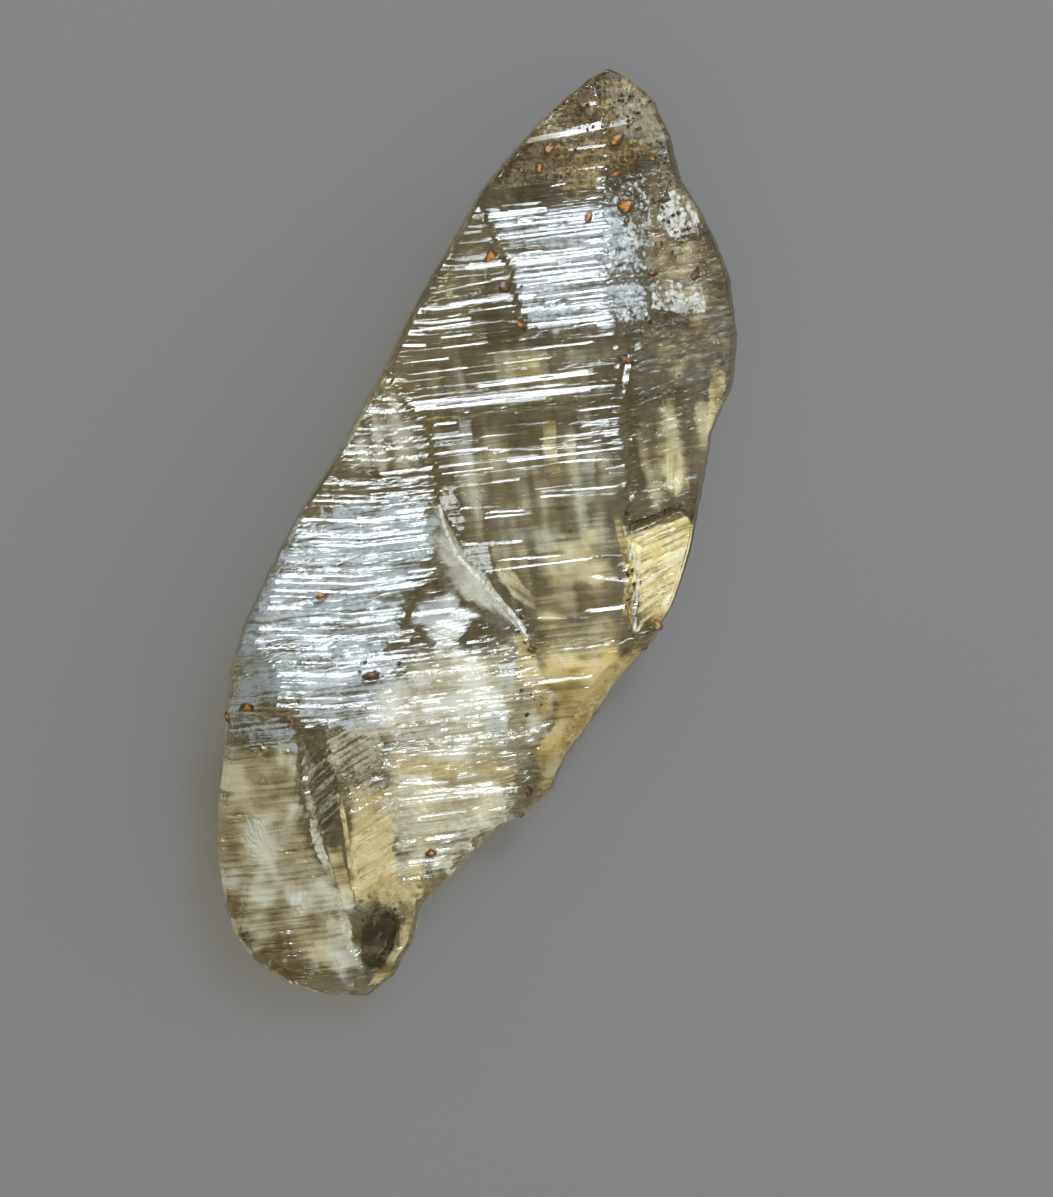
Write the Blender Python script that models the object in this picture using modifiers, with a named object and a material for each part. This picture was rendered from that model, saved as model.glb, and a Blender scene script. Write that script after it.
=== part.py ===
"""Quartz crystal, one clear to smoky, iron-stained crystal lying on its broad back face.

The crystal lies along +Y with its tip at the +Y end, its striated front up (+Z) and its flat back on z = 0.
Driving dimensions are in millimetres and degrees, and the model itself is in metres.
"""

import math

import bmesh
import bpy
from mathutils import Euler, Matrix, Vector

MM = 0.001

# Driving dimensions, mm.
THICKNESS = 11.2          # of the blank that the crystal faces are cut from
RIM_BEVEL = 0.12          # worn edges between faces
BLANK_OVERHANG = 0.4      # the blank reaches this far under the back and over the front before it is cut

# Outline seen from above, from the tip down the left side to the broken base and up the right side.
OUTLINE = (
    (0.4, 28.2), (-0.6, 27.3), (-2.4, 24.8), (-4.0, 21.8), (-5.1, 19.3), (-5.4, 18.2), (-6.4, 14.6),
    (-7.1, 12.2), (-7.8, 8.4), (-8.7, 4.6), (-9.4, 2.0), (-10.6, -1.7), (-11.4, -5.3), (-12.0, -8.7),
    (-12.1, -11.2), (-11.5, -15.0), (-11.1, -18.5), (-10.4, -21.4), (-9.1, -24.5), (-8.0, -26.1),
    (-6.6, -27.3), (-4.4, -28.1), (-2.0, -28.2), (0.3, -27.7), (1.5, -26.2), (2.2, -23.7), (2.1, -21.8),
    (3.8, -18.9), (5.4, -16.0), (6.6, -15.1), (7.8, -13.2), (8.1, -11.3), (9.2, -8.4), (10.2, -5.5),
    (11.3, -3.4), (11.9, -0.8), (12.1, 2.3), (11.8, 7.0), (11.6, 9.3), (12.1, 12.4), (11.6, 15.2),
    (10.4, 18.2), (9.2, 20.0), (7.8, 21.6), (6.2, 23.1), (4.9, 25.4), (3.4, 27.2), (1.6, 28.0),
)

# Crystal faces: name, the way it faces in plan (degrees from +Y toward +X), its slope (degrees from level),
# and a point on it (mm). Upper faces look up, lower faces look down.
UPPER_FACES = (
    ("front", 68, 8.5, (0.0, 0.0, 9.2)),
    ("right", 71, 31, (6.9, 6.5, 7.9)),
    ("right_upper", 62, 34, (6.3, 20.8, 5.8)),
    ("tip", 8, 26, (0.5, 26.2, 8.0)),
    ("lower", 140, 20, (0.0, -10.0, 9.2)),
    ("lower_right", 118, 49, (8.0, -9.8, 6.8)),
    ("lower_left", -150, 20, (-11.0, -12.0, 10.4)),
    ("base", 165, 26, (-3.4, -24.2, 6.8)),
    ("left", -79, 54, (-10.7, -0.6, 9.8)),
)
LOWER_FACES = (
    ("left_under", -80, 65, (-8.9, -2.5, 4.6)),
    ("right_under", 97, 61, (11.5, 2.5, 3.7)),
    ("right_foot", 100, 16, (5.7, 0.4, 0.9)),
    ("tip_under", -20, 33, (0.8, 22.6, 2.4)),
    ("tip_right_under", 60, 44, (8.0, 21.5, 2.2)),
    ("base_under", 163, 31, (-1.6, -23.9, 0.8)),
    ("base_right_under", 118, 40, (3.2, -17.2, 1.2)),
    ("base_left_under", -125, 42, (-9.0, -19.5, 2.5)),
)

# Growth steps: shallow treads that cross a face along the growth lines, from one edge of the crystal to the other.
# U runs along the growth lines and V across them, towards the tip.
GROWTH_TURN = 21.5        # of the growth lines from +X, degrees
CUTTER_HEIGHT = 2.6       # most of each cutter stands clear above the face
STEP_LENGTH = 44.0        # longer than any face, so that each tread runs out over both edges
# face, V of the tread's middle (mm), width (mm), lean of its floor towards the tip (degrees), depth of its middle (mm)
GROWTH_STEPS = (
    ("front", 21.2, 1.3, 5.0, 0.10),
    ("front", 17.5, 2.3, 4.5, 0.16),
    ("front", 14.9, 1.9, 4.0, 0.20),
    ("front", 12.2, 2.5, 4.5, 0.16),
    ("front", 9.9, 0.9, 9.0, 0.12),
    ("front", 8.0, 1.5, 5.0, 0.14),
    ("front", 5.3, 2.1, -4.0, 0.20),
    ("front", 1.7, 4.0, 2.5, 0.26),
    ("front", -1.9, 1.7, 6.0, 0.14),
    ("front", -4.6, 2.4, 3.5, 0.18),
    ("lower", -8.9, 1.8, 6.0, 0.14),
    ("lower", -11.8, 2.6, 4.0, 0.16),
    ("lower", -14.6, 1.2, 7.0, 0.14),
    ("lower", -17.4, 2.2, 4.5, 0.15),
    ("right", 3.0, 1.6, 6.0, 0.12),
    ("right", 9.4, 2.2, 4.5, 0.14),
    ("right", 14.6, 1.7, 5.0, 0.12),
)
# Straight-sided hollows: name, middle of the floor (mm), length and width (mm), turn about Z, tilt about its own
# X and Y (degrees).
HOLLOWS = (
    ("window", (-1.0, -5.2, 9.0), (4.0, 3.0), GROWTH_TURN, -4, 6),
    ("lower_gash", (-5.2, -16.5, 7.8), (1.3, 7.0), 30.0, 8, 22),
)
# Shell-shaped chips: name, middle (mm), half length along each of its own axes (mm), turn about Z (degrees).
CHIPS = (
    ("edge_chip", (12.6, 15.8, 4.3), (2.2, 2.8, 1.9), GROWTH_TURN),
    ("base_socket", (0.2, -24.4, 6.0), (3.0, 4.4, 1.6), -12.0),
    ("shoulder_chip", (10.0, 19.4, 5.2), (2.2, 2.6, 1.8), 35.0),
)

QUARTZ_COLOUR = (0.80, 0.74, 0.60, 1.0)
QUARTZ_ROUGHNESS = 0.08
QUARTZ_IOR = 1.544


def new_collection(name):
    """A collection linked to the scene."""
    collection = bpy.data.collections.new(name)
    bpy.context.scene.collection.children.link(collection)
    return collection


def clear_scene():
    """Remove every object that the scene starts with."""
    for obj in list(bpy.data.objects):
        bpy.data.objects.remove(obj, do_unlink=True)


def quartz_material():
    """See-through quartz with a warm, faintly smoky body colour."""
    material = bpy.data.materials.new("quartz")
    material.use_nodes = True
    shader = material.node_tree.nodes["Principled BSDF"]
    shader.inputs["Base Color"].default_value = QUARTZ_COLOUR
    shader.inputs["Roughness"].default_value = QUARTZ_ROUGHNESS
    shader.inputs["Metallic"].default_value = 0.0
    shader.inputs["IOR"].default_value = QUARTZ_IOR
    shader.inputs["Transmission Weight"].default_value = 1.0
    return material


def face_normal(facing, slope, looks_up):
    """Outward normal of a face from the way it faces in plan and its slope from level."""
    facing, slope = math.radians(facing), math.radians(slope)
    level = math.sin(slope)
    up = math.cos(slope) if looks_up else -math.cos(slope)
    return Vector((math.sin(facing) * level, math.cos(facing) * level, up))


def blank_mesh():
    """The outline as a filled 2D curve, extruded to the blank's thickness, as one welded mesh."""
    curve = bpy.data.curves.new("blank_outline", "CURVE")
    curve.dimensions = "2D"
    curve.fill_mode = "BOTH"
    half = THICKNESS / 2 + BLANK_OVERHANG
    curve.extrude = half * MM
    spline = curve.splines.new("POLY")
    spline.points.add(len(OUTLINE) - 1)
    for point, (x, y) in zip(spline.points, OUTLINE):
        point.co = (x * MM, y * MM, 0.0, 1.0)
    spline.use_cyclic_u = True
    guide = bpy.data.objects.new("blank_outline", curve)
    bpy.context.scene.collection.objects.link(guide)
    evaluated = guide.evaluated_get(bpy.context.evaluated_depsgraph_get())
    mesh = bpy.data.meshes.new_from_object(evaluated)
    bpy.data.objects.remove(guide, do_unlink=True)
    mesh.transform(Matrix.Translation((0.0, 0.0, THICKNESS / 2 * MM)))
    return mesh


def cut_face(bm, point, normal):
    """Slice the solid with a plane, drop what lies outside it and close the cut with one flat face."""
    everything = bm.verts[:] + bm.edges[:] + bm.faces[:]
    sliced = bmesh.ops.bisect_plane(
        bm, geom=everything, dist=1e-7, plane_co=point, plane_no=normal, clear_outer=True)
    rim = [item for item in sliced["geom_cut"] if isinstance(item, bmesh.types.BMEdge)]
    if rim:
        bmesh.ops.contextual_create(bm, geom=rim)


def crystal_mesh():
    """The blank cut to the crystal's upper faces, its flat back and its lower faces."""
    mesh = blank_mesh()
    bm = bmesh.new()
    bm.from_mesh(mesh)
    bmesh.ops.remove_doubles(bm, verts=bm.verts[:], dist=1e-6)
    bmesh.ops.dissolve_limit(bm, angle_limit=math.radians(0.5), verts=bm.verts[:], edges=bm.edges[:])
    cut_face(bm, Vector((0.0, 0.0, 0.0)), Vector((0.0, 0.0, -1.0)))
    for faces, looks_up in ((UPPER_FACES, True), (LOWER_FACES, False)):
        for _name, facing, slope, point in faces:
            cut_face(bm, Vector(point) * MM, face_normal(facing, slope, looks_up))
    bmesh.ops.recalc_face_normals(bm, faces=bm.faces[:])
    bm.to_mesh(mesh)
    bm.free()
    return mesh


def add_cutter(collection, name, bm, placed):
    """A hidden cutter made of a finished bmesh and put where a matrix says."""
    mesh = bpy.data.meshes.new(name)
    bm.to_mesh(mesh)
    bm.free()
    cutter = bpy.data.objects.new(name, mesh)
    cutter.matrix_world = placed
    cutter.hide_render = True
    cutter.display_type = "WIRE"
    collection.objects.link(cutter)
    return cutter


def add_box(collection, name, length, width, placed):
    """A box cutter that stands on the middle of its floor."""
    bm = bmesh.new()
    bmesh.ops.create_cube(bm, size=1.0)
    bmesh.ops.scale(bm, vec=Vector((length, width, CUTTER_HEIGHT)) * MM, verts=bm.verts[:])
    bmesh.ops.translate(bm, vec=Vector((0.0, 0.0, CUTTER_HEIGHT / 2 * MM)), verts=bm.verts[:])
    return add_cutter(collection, name, bm, placed)


def add_growth_step(collection, name, facing, slope, point, v, width, lean, depth):
    """A long box whose floor lies a little under a face, tipped about the growth line that it follows."""
    turn = math.radians(GROWTH_TURN)
    x, y = -v * math.sin(turn), v * math.cos(turn)
    toward, rise = math.radians(facing), math.tan(math.radians(slope))
    z = point[2] - rise * ((x - point[0]) * math.sin(toward) + (y - point[1]) * math.cos(toward))
    normal = face_normal(facing, slope, True)
    across = normal.cross(Vector((math.cos(turn), math.sin(turn), 0.0))).normalized()
    frame = Matrix((across.cross(normal), across, normal)).transposed().to_4x4()
    place = Matrix.Translation(Vector((x, y, z)) * MM - normal * depth * MM)
    tipped = Matrix.Rotation(math.radians(-lean), 4, "X")
    return add_box(collection, name, STEP_LENGTH, width, place @ frame @ tipped)


def add_hollow(collection, name, floor, size, turn, tilt_x, tilt_y):
    """A box that cuts one straight-sided hollow, turned about its own axes."""
    turned = Euler((math.radians(tilt_x), math.radians(tilt_y), math.radians(turn))).to_matrix().to_4x4()
    return add_box(collection, name, size[0], size[1], Matrix.Translation(Vector(floor) * MM) @ turned)


def add_chip(collection, name, middle, radii, turn):
    """An oval ball that cuts one shell-shaped chip."""
    bm = bmesh.new()
    bmesh.ops.create_uvsphere(bm, u_segments=24, v_segments=14, radius=1.0)
    bmesh.ops.scale(bm, vec=Vector(radii) * MM, verts=bm.verts[:])
    turned = Matrix.Rotation(math.radians(turn), 4, "Z")
    return add_cutter(collection, name, bm, Matrix.Translation(Vector(middle) * MM) @ turned)


def subtract(crystal, cutter):
    """Cuts one cutter out of the crystal."""
    cut = crystal.modifiers.new(cutter.name, "BOOLEAN")
    cut.operation = "DIFFERENCE"
    cut.solver = "EXACT"
    cut.object = cutter


def build_crystal():
    """The crystal as one object: faces cut, their edges lightly worn, then growth steps, hollows and chips."""
    parts = new_collection("quartz crystal")
    cutters = new_collection("cutters")
    mesh = crystal_mesh()
    mesh.name = "quartz_crystal"
    mesh.materials.clear()
    mesh.materials.append(quartz_material())
    crystal = bpy.data.objects.new("quartz_crystal", mesh)
    parts.objects.link(crystal)
    wear = crystal.modifiers.new("worn_edges", "BEVEL")
    wear.width = RIM_BEVEL * MM
    wear.segments = 1
    wear.limit_method = "ANGLE"
    wear.angle_limit = math.radians(25)
    planes = {name: (facing, slope, point) for name, facing, slope, point in UPPER_FACES}
    for number, (face, v, width, lean, depth) in enumerate(GROWTH_STEPS, 1):
        name = "growth_step_%02d" % number
        subtract(crystal, add_growth_step(cutters, name, *planes[face], v, width, lean, depth))
    for name, floor, size, turn, tilt_x, tilt_y in HOLLOWS:
        subtract(crystal, add_hollow(cutters, name, floor, size, turn, tilt_x, tilt_y))
    for name, middle, radii, turn in CHIPS:
        subtract(crystal, add_chip(cutters, name, middle, radii, turn))
    return crystal


def main():
    clear_scene()
    build_crystal()


main()
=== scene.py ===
import math

import bmesh
import bpy
import numpy as np
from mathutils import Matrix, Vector


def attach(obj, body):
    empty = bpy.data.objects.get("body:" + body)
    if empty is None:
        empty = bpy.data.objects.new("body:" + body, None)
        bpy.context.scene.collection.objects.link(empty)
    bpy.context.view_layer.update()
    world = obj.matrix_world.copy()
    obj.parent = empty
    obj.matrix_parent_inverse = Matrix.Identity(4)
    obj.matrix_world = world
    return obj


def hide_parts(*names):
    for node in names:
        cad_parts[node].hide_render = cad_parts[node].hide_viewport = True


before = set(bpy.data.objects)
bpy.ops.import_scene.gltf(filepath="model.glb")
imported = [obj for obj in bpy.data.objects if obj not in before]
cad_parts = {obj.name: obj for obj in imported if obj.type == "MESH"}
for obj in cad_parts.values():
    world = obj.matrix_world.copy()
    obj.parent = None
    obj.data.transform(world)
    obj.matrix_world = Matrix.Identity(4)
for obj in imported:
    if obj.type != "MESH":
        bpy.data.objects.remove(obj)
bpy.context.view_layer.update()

bl_info = {
    "name": "Quartz crystal",
    "version": (1, 0, 0),
    "blender": (4, 5, 0),
    "location": "View3D > Sidebar > Quartz",
    "description": "Adds a clear to smoky, iron-stained quartz crystal with growth lines, and its stage",
    "category": "Add Mesh",
}

NODE = "quartz_crystal"
BODY = "root"
MM = 0.001

# The growth frame: U runs along the growth lines and V across them, towards the tip.
GROWTH_TURN = math.radians(21.5)
COS_GROWTH, SIN_GROWTH = math.cos(GROWTH_TURN), math.sin(GROWTH_TURN)

# Crystal faces as the solid has them: the way each faces in plan (degrees from +Y toward +X), its slope
# (degrees from level) and a point on it (mm).
UPPER_FACES = {
    "front": (68, 8.5, (0.0, 0.0, 9.2)),
    "right": (71, 31, (6.9, 6.5, 7.9)),
    "right_upper": (62, 34, (6.3, 20.8, 5.8)),
    "tip": (8, 26, (0.5, 26.2, 8.0)),
    "lower": (140, 20, (0.0, -10.0, 9.2)),
    "lower_right": (118, 49, (8.0, -9.8, 6.8)),
    "lower_left": (-150, 20, (-11.0, -12.0, 10.4)),
    "base": (165, 26, (-3.4, -24.2, 6.8)),
    "left": (-79, 54, (-10.7, -0.6, 9.8)),
}
LOWER_FACES = {
    "left_under": (-80, 65, (-8.9, -2.5, 4.6)),
    "right_under": (97, 61, (11.5, 2.5, 3.7)),
    "right_foot": (100, 16, (5.7, 0.4, 0.9)),
    "tip_under": (-20, 33, (0.8, 22.6, 2.4)),
    "tip_right_under": (60, 44, (8.0, 21.5, 2.2)),
    "base_under": (163, 31, (-1.6, -23.9, 0.8)),
    "base_right_under": (118, 40, (3.2, -17.2, 1.2)),
    "base_left_under": (-125, 42, (-9.0, -19.5, 2.5)),
}

# Growth zones of the front: what differs there, and the zone's outline in the growth frame (mm). A later zone lies
# over an earlier one.
# bright  share of the surface that lies in facets leaning to the tip, which catch the light
# step    height above the crystal face (mm), so that its edge is a growth step
# lean    extra slope along U and along V
# turn    turn of its growth lines (degrees)
# lines   how strongly the finest growth lines show, 0 to 1
# frost, grain, stain  how etched, granular and gold-stained it is; off_facet_tint  how strong the darker brown lines
# off the lit facets are; dark  how dark it is, which is soot on the tip and the dark spots and painted shade in the
# sunken eye, wedge and panel bar. All 0 to 1.
ZONES = {
    "strip_left": (dict(bright=0.19, off_facet_tint=0.6, lines=0.7), ((2.3, 19.4), (2.5, 18.5), (3.1, 16.6), (3.6, 15.0),
        (3.7, 12.6), (3.9, 11.1), (-4.6, 10.4), (-3.1, 14.0), (0.0, 17.4))),
    "patch_upper": (dict(bright=0.84, step=-0.3, frost=0.12, off_facet_tint=0.1, lines=1.0, stain=0.0, grain=0.1),
        ((2.6, 18.8), (7.0, 18.6), (10.4, 18.8), (11.6, 16.4), (11.2, 12.4), (10.6, 10.9), (3.9, 10.9), (3.7, 12.6),
        (3.6, 15.0), (2.7, 17.6))),
    "streaks": (dict(bright=0.05, step=-0.15, off_facet_tint=0.6, lines=0.4), ((3.9, 11.1), (10.6, 10.0), (8.9, 6.8),
        (-3.0, 7.3), (-4.3, 10.4))),
    "mid_clear": (dict(bright=0.03, step=-0.45, off_facet_tint=0.25, stain=0.4, lines=0.25, grain=0.02), ((-2.3, 7.0),
        (8.9, 6.7), (9.1, 2.7), (8.0, -7.1), (2.1, -6.4), (0.7, -3.8), (-1.7, 0.4), (-2.1, 2.8))),
    "mid_lines": (dict(bright=0.04, lines=0.7, off_facet_tint=0.5), ((-2.2, 7.0), (8.9, 6.7), (9.0, 2.4), (4.0, 2.2),
        (-2.1, 2.6))),
    "ridge_white": (dict(bright=0.6, lines=1.0, frost=0.1), ((5.0, 7.6), (8.9, 7.3), (9.0, 4.0), (7.6, 4.6),
        (6.6, 6.4))),
    "left_patch": (dict(bright=0.78, frost=0.12, off_facet_tint=0.2, lines=1.0, stain=0.0, grain=0.2), ((-4.2, 9.2),
        (-3.0, 8.2), (-2.4, 5.5), (-2.4, 2.0), (-2.5, -1.1), (-3.5, -2.3), (-5.0, -4.3), (-4.6, -5.5), (-10.9, -9.3),
        (-16.8, -8.9), (-14.9, -2.2), (-10.8, 3.2))),
    "milk_left": (dict(bright=0.45, lines=0.9, off_facet_tint=0.2, stain=0.1, grain=0.4), ((-11.2, -5.3), (-5.3, -6.1),
        (-5.8, -10.2), (-8.5, -10.6), (-11.8, -9.5))),
    "left_top": (dict(bright=0.14, off_facet_tint=0.6, lines=0.6), ((-4.2, 10.4), (-3.0, 8.0), (-2.4, 5.5), (-2.4, 3.4),
        (-8.6, 4.2), (-6.4, 7.2))),
    "right_upper": (dict(bright=0.1, frost=0.22, off_facet_tint=0.6, grain=0.8, lines=0.3, stain=0.2), ((11.8, 22.8),
        (14.6, 20.9), (15.9, 17.1), (17.0, 11.7), (16.0, 6.2), (9.7, 6.7), (10.9, 12.4), (10.7, 18.3))),
    "right_middle": (dict(bright=0.1, frost=0.1, off_facet_tint=0.5, grain=0.35, lines=0.5, stain=0.35), ((9.4, 6.9),
        (16.2, 6.9), (14.2, 2.4), (12.6, 0.4), (8.8, -0.4), (8.9, 3.6))),
    "right_panels": (dict(bright=0.75, stain=0.6, off_facet_tint=0.2, turn=16, lines=1.0, frost=0.1), ((8.4, -0.6),
        (11.7, 0.3), (13.2, -0.6), (11.6, -4.4), (9.6, -6.7), (8.2, -7.1))),
    # The panel bar is sunk, and its dark value is painted shade in the groove.
    "panel_bar": (dict(bright=0.0, step=-0.35, dark=0.55, stain=0.7), ((8.3, -0.4), (11.7, 0.5), (11.8, -0.1),
        (8.4, -1.1))),
    "ribbon": (dict(bright=0.0, frost=0.45, step=-0.15, lean=(-0.15, 0.0), lines=0.15, grain=0.15), ((-2.7, 1.9),
        (-2.0, 2.0), (-1.2, -0.6), (0.0, -2.6), (1.8, -5.1), (2.6, -7.6), (0.4, -6.1), (-2.6, -2.3))),
    "window": (dict(bright=0.3, step=-0.35, frost=0.1, lines=0.6), ((-3.6, -2.7), (-1.8, -3.0), (-0.5, -4.3),
        (-2.0, -6.2), (-3.4, -6.0), (-4.9, -4.4))),
    "window_core": (dict(bright=0.72, lines=0.8, turn=-24), ((-3.4, -4.9), (-1.7, -3.9), (-0.6, -4.6), (-1.8, -5.7),
        (-3.0, -6.0))),
    "lower_mid": (dict(bright=0.48, frost=0.15, grain=0.5, stain=0.15, lines=0.9), ((-4.6, -5.5), (-2.0, -6.4),
        (1.7, -5.1), (2.7, -9.1), (3.0, -12.0), (0.7, -15.5), (-3.0, -18.4), (-6.9, -19.6), (-7.4, -13.5),
        (-8.0, -9.8))),
    "cream_facet": (dict(bright=0.5, frost=0.2, grain=0.2, stain=0.25, lines=1.0), ((-7.0, -13.4), (0.2, -13.9),
        (-0.6, -16.2), (-2.2, -17.2), (-4.6, -18.6), (-7.0, -18.9))),
    "gold_edge": (dict(bright=0.12, stain=0.8, frost=0.1, off_facet_tint=0.2, lines=0.5, grain=0.1), ((8.2, -7.1), (9.8, -7.2),
        (6.2, -10.8), (3.6, -13.4), (1.8, -15.9), (1.0, -13.2), (3.0, -11.3), (2.1, -6.4))),
    "lower_left": (dict(bright=0.0, stain=0.15, frost=0.04, off_facet_tint=0.25, lines=0.25, grain=0.05), ((-16.4, -8.8),
        (-11.8, -9.5), (-11.9, -13.8), (-11.0, -18.4), (-9.9, -20.4), (-11.0, -26.2), (-13.6, -25.6), (-17.8, -22.2),
        (-18.4, -16.2), (-17.6, -13.1))),
    "facet": (dict(bright=0.55, stain=0.4, turn=22, lines=1.0, off_facet_tint=0.3), ((-9.6, -12.6), (-6.6, -12.9),
        (-7.0, -20.7), (-9.6, -20.8), (-9.7, -15.2))),
    # The wedge is sunk, and its dark value is painted shade in the hollow.
    "wedge": (dict(bright=0.0, step=-0.5, off_facet_tint=0.6, lean=(0.2, 0.0), lines=0.5, dark=0.5, turn=10), ((-11.7, -9.7),
        (-10.0, -12.3), (-9.9, -14.9), (-11.3, -16.9))),
    "wedge_upper": (dict(bright=0.15, off_facet_tint=0.4, lines=0.9, turn=22), ((-10.2, -9.9), (-7.9, -9.4), (-7.4, -12.6),
        (-8.8, -14.6), (-10.0, -12.3))),
    # The eye is sunk, and its dark value is painted shade in the hollow.
    "eye": (dict(bright=0.25, step=-0.6, off_facet_tint=0.9, dark=1.0, lines=1.0, turn=50, stain=0.2), ((-7.9, -20.8),
        (-7.4, -21.7), (-7.7, -23.1), (-8.6, -24.3), (-9.6, -24.5), (-10.1, -23.6), (-9.8, -22.2), (-8.9, -21.0))),
    "tip": (dict(bright=0.02, frost=0.08, off_facet_tint=0.6, grain=0.03, lines=0.04, stain=0.8, dark=0.25), ((10.6, 28.2),
        (4.4, 23.4), (2.0, 19.0), (10.9, 18.8), (14.2, 21.4), (15.2, 24.5), (13.4, 28.0))),
    "tip_right": (dict(bright=0.0, frost=0.35, lines=0.0, grain=0.0), ((10.8, 28.2), (10.6, 22.2), (14.4, 20.8),
        (15.6, 23.5), (13.8, 28.2))),
    "granular": (dict(grain=1.0, frost=0.05, lines=0.5, bright=0.6), ((9.5, 19.6), (11.9, 19.9), (12.4, 15.8),
        (11.4, 10.3), (9.2, 10.9), (9.0, 15.0))),
    "soot": (dict(dark=0.5, grain=0.9), ((11.5, 12.0), (14.0, 12.0), (13.6, 10.4), (11.8, 10.2))),
}
# What the front is like outside the zones.
REST_OF_FRONT = {"bright": 0.10, "step": 0.0, "lines": 0.5, "frost": 0.06, "grain": 0.05, "stain": 0.25,
                 "off_facet_tint": 0.4, "dark": 0.0}
# Single growth lines: U and V of each end, thickness (mm), and 1 for a lit facet or 0 for a dark one.
GROWTH_LINES = (
    (4.9, 22.34, 11.8, 22.90, 0.55, 1), (8.1, 20.37, 10.4, 20.39, 0.12, 1), (3.1, 20.52, 4.4, 20.54, 0.12, 1),
    (6.5, 19.58, 7.4, 19.65, 0.12, 1), (2.6, 18.30, 6.9, 18.30, 0.41, 1), (2.8, 17.70, 5.9, 18.08, 0.17, 0),
    (3.5, 16.04, 9.1, 15.99, 0.29, 0), (3.9, 11.25, 10.6, 11.25, 0.46, 1), (-3.9, 11.09, 4.1, 10.99, 0.15, 1),
    (-4.3, 10.44, 7.8, 10.30, 0.17, 1), (-2.9, 9.69, 5.3, 9.73, 0.15, 1), (-2.9, 8.81, 5.4, 8.73, 0.15, 1),
    (-3.0, 7.83, 8.8, 7.44, 0.70, 1), (-1.4, 14.77, 3.1, 15.26, 0.15, 1), (-1.5, 14.49, 3.1, 14.97, 0.15, 1),
    (-1.7, 14.15, 3.1, 14.62, 0.17, 1), (-2.2, 13.28, 3.4, 13.53, 0.41, 1), (-2.8, 12.72, 3.4, 12.95, 0.17, 1),
    (-2.9, 12.14, 3.6, 12.40, 0.12, 1), (-0.7, 13.68, 3.2, 13.97, 0.23, 0), (-0.8, 12.82, 3.1, 13.22, 0.17, 0),
    (-10.4, 0.86, -2.9, 0.68, 0.46, 0), (-11.1, -0.05, -5.9, -0.17, 0.29, 0), (-14.0, -4.38, -5.3, -4.69, 0.35, 0),
    (-8.4, 3.29, -2.6, 3.10, 0.17, 0), (-1.1, 1.70, 1.4, 1.51, 0.15, 1), (0.5, 1.27, 2.7, 1.11, 0.15, 1),
    (0.5, 0.98, 2.7, 0.88, 0.17, 1), (3.6, 2.11, 8.2, 1.84, 0.15, 1), (3.6, 1.82, 8.2, 1.44, 0.15, 1),
    (6.2, -1.95, 8.3, -2.15, 0.12, 1), (6.4, -3.26, 8.2, -3.65, 0.23, 1), (3.5, -8.51, 5.9, -8.86, 0.17, 1),
    (4.9, -9.44, 5.8, -9.56, 0.12, 1), (4.4, -9.96, 5.2, -10.07, 0.15, 1), (2.7, -5.14, 5.8, -5.52, 0.12, 1),
    (-7.0, -12.01, 0.3, -12.73, 0.23, 1), (-6.5, -11.60, 0.3, -12.27, 0.17, 1), (-6.2, -12.57, 0.2, -13.48, 0.17, 0),
    (-3.6, -14.53, 0.5, -14.98, 0.46, 1), (-2.5, -15.72, -0.1, -15.96, 0.35, 1), (-6.7, -13.63, -3.6, -14.06, 0.29, 1),
    (-15.3, -6.78, -13.6, -6.99, 0.17, 1), (-15.3, -7.20, -13.8, -7.38, 0.17, 1), (-15.0, -5.60, -11.8, -5.87, 0.17, 1),
    (-14.6, -4.88, -9.4, -5.23, 0.17, 1), (-2.2, 5.87, 5.3, 5.41, 0.12, 1), (-2.3, 5.17, 7.5, 4.26, 0.12, 1),
    (1.9, 6.23, 9.0, 5.60, 0.17, 1), (3.9, 3.76, 8.9, 3.39, 0.12, 1), (-1.5, -0.41, 2.2, -0.64, 0.23, 1),
    (1.0, -1.54, 4.1, -1.75, 0.17, 1),
)
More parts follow.
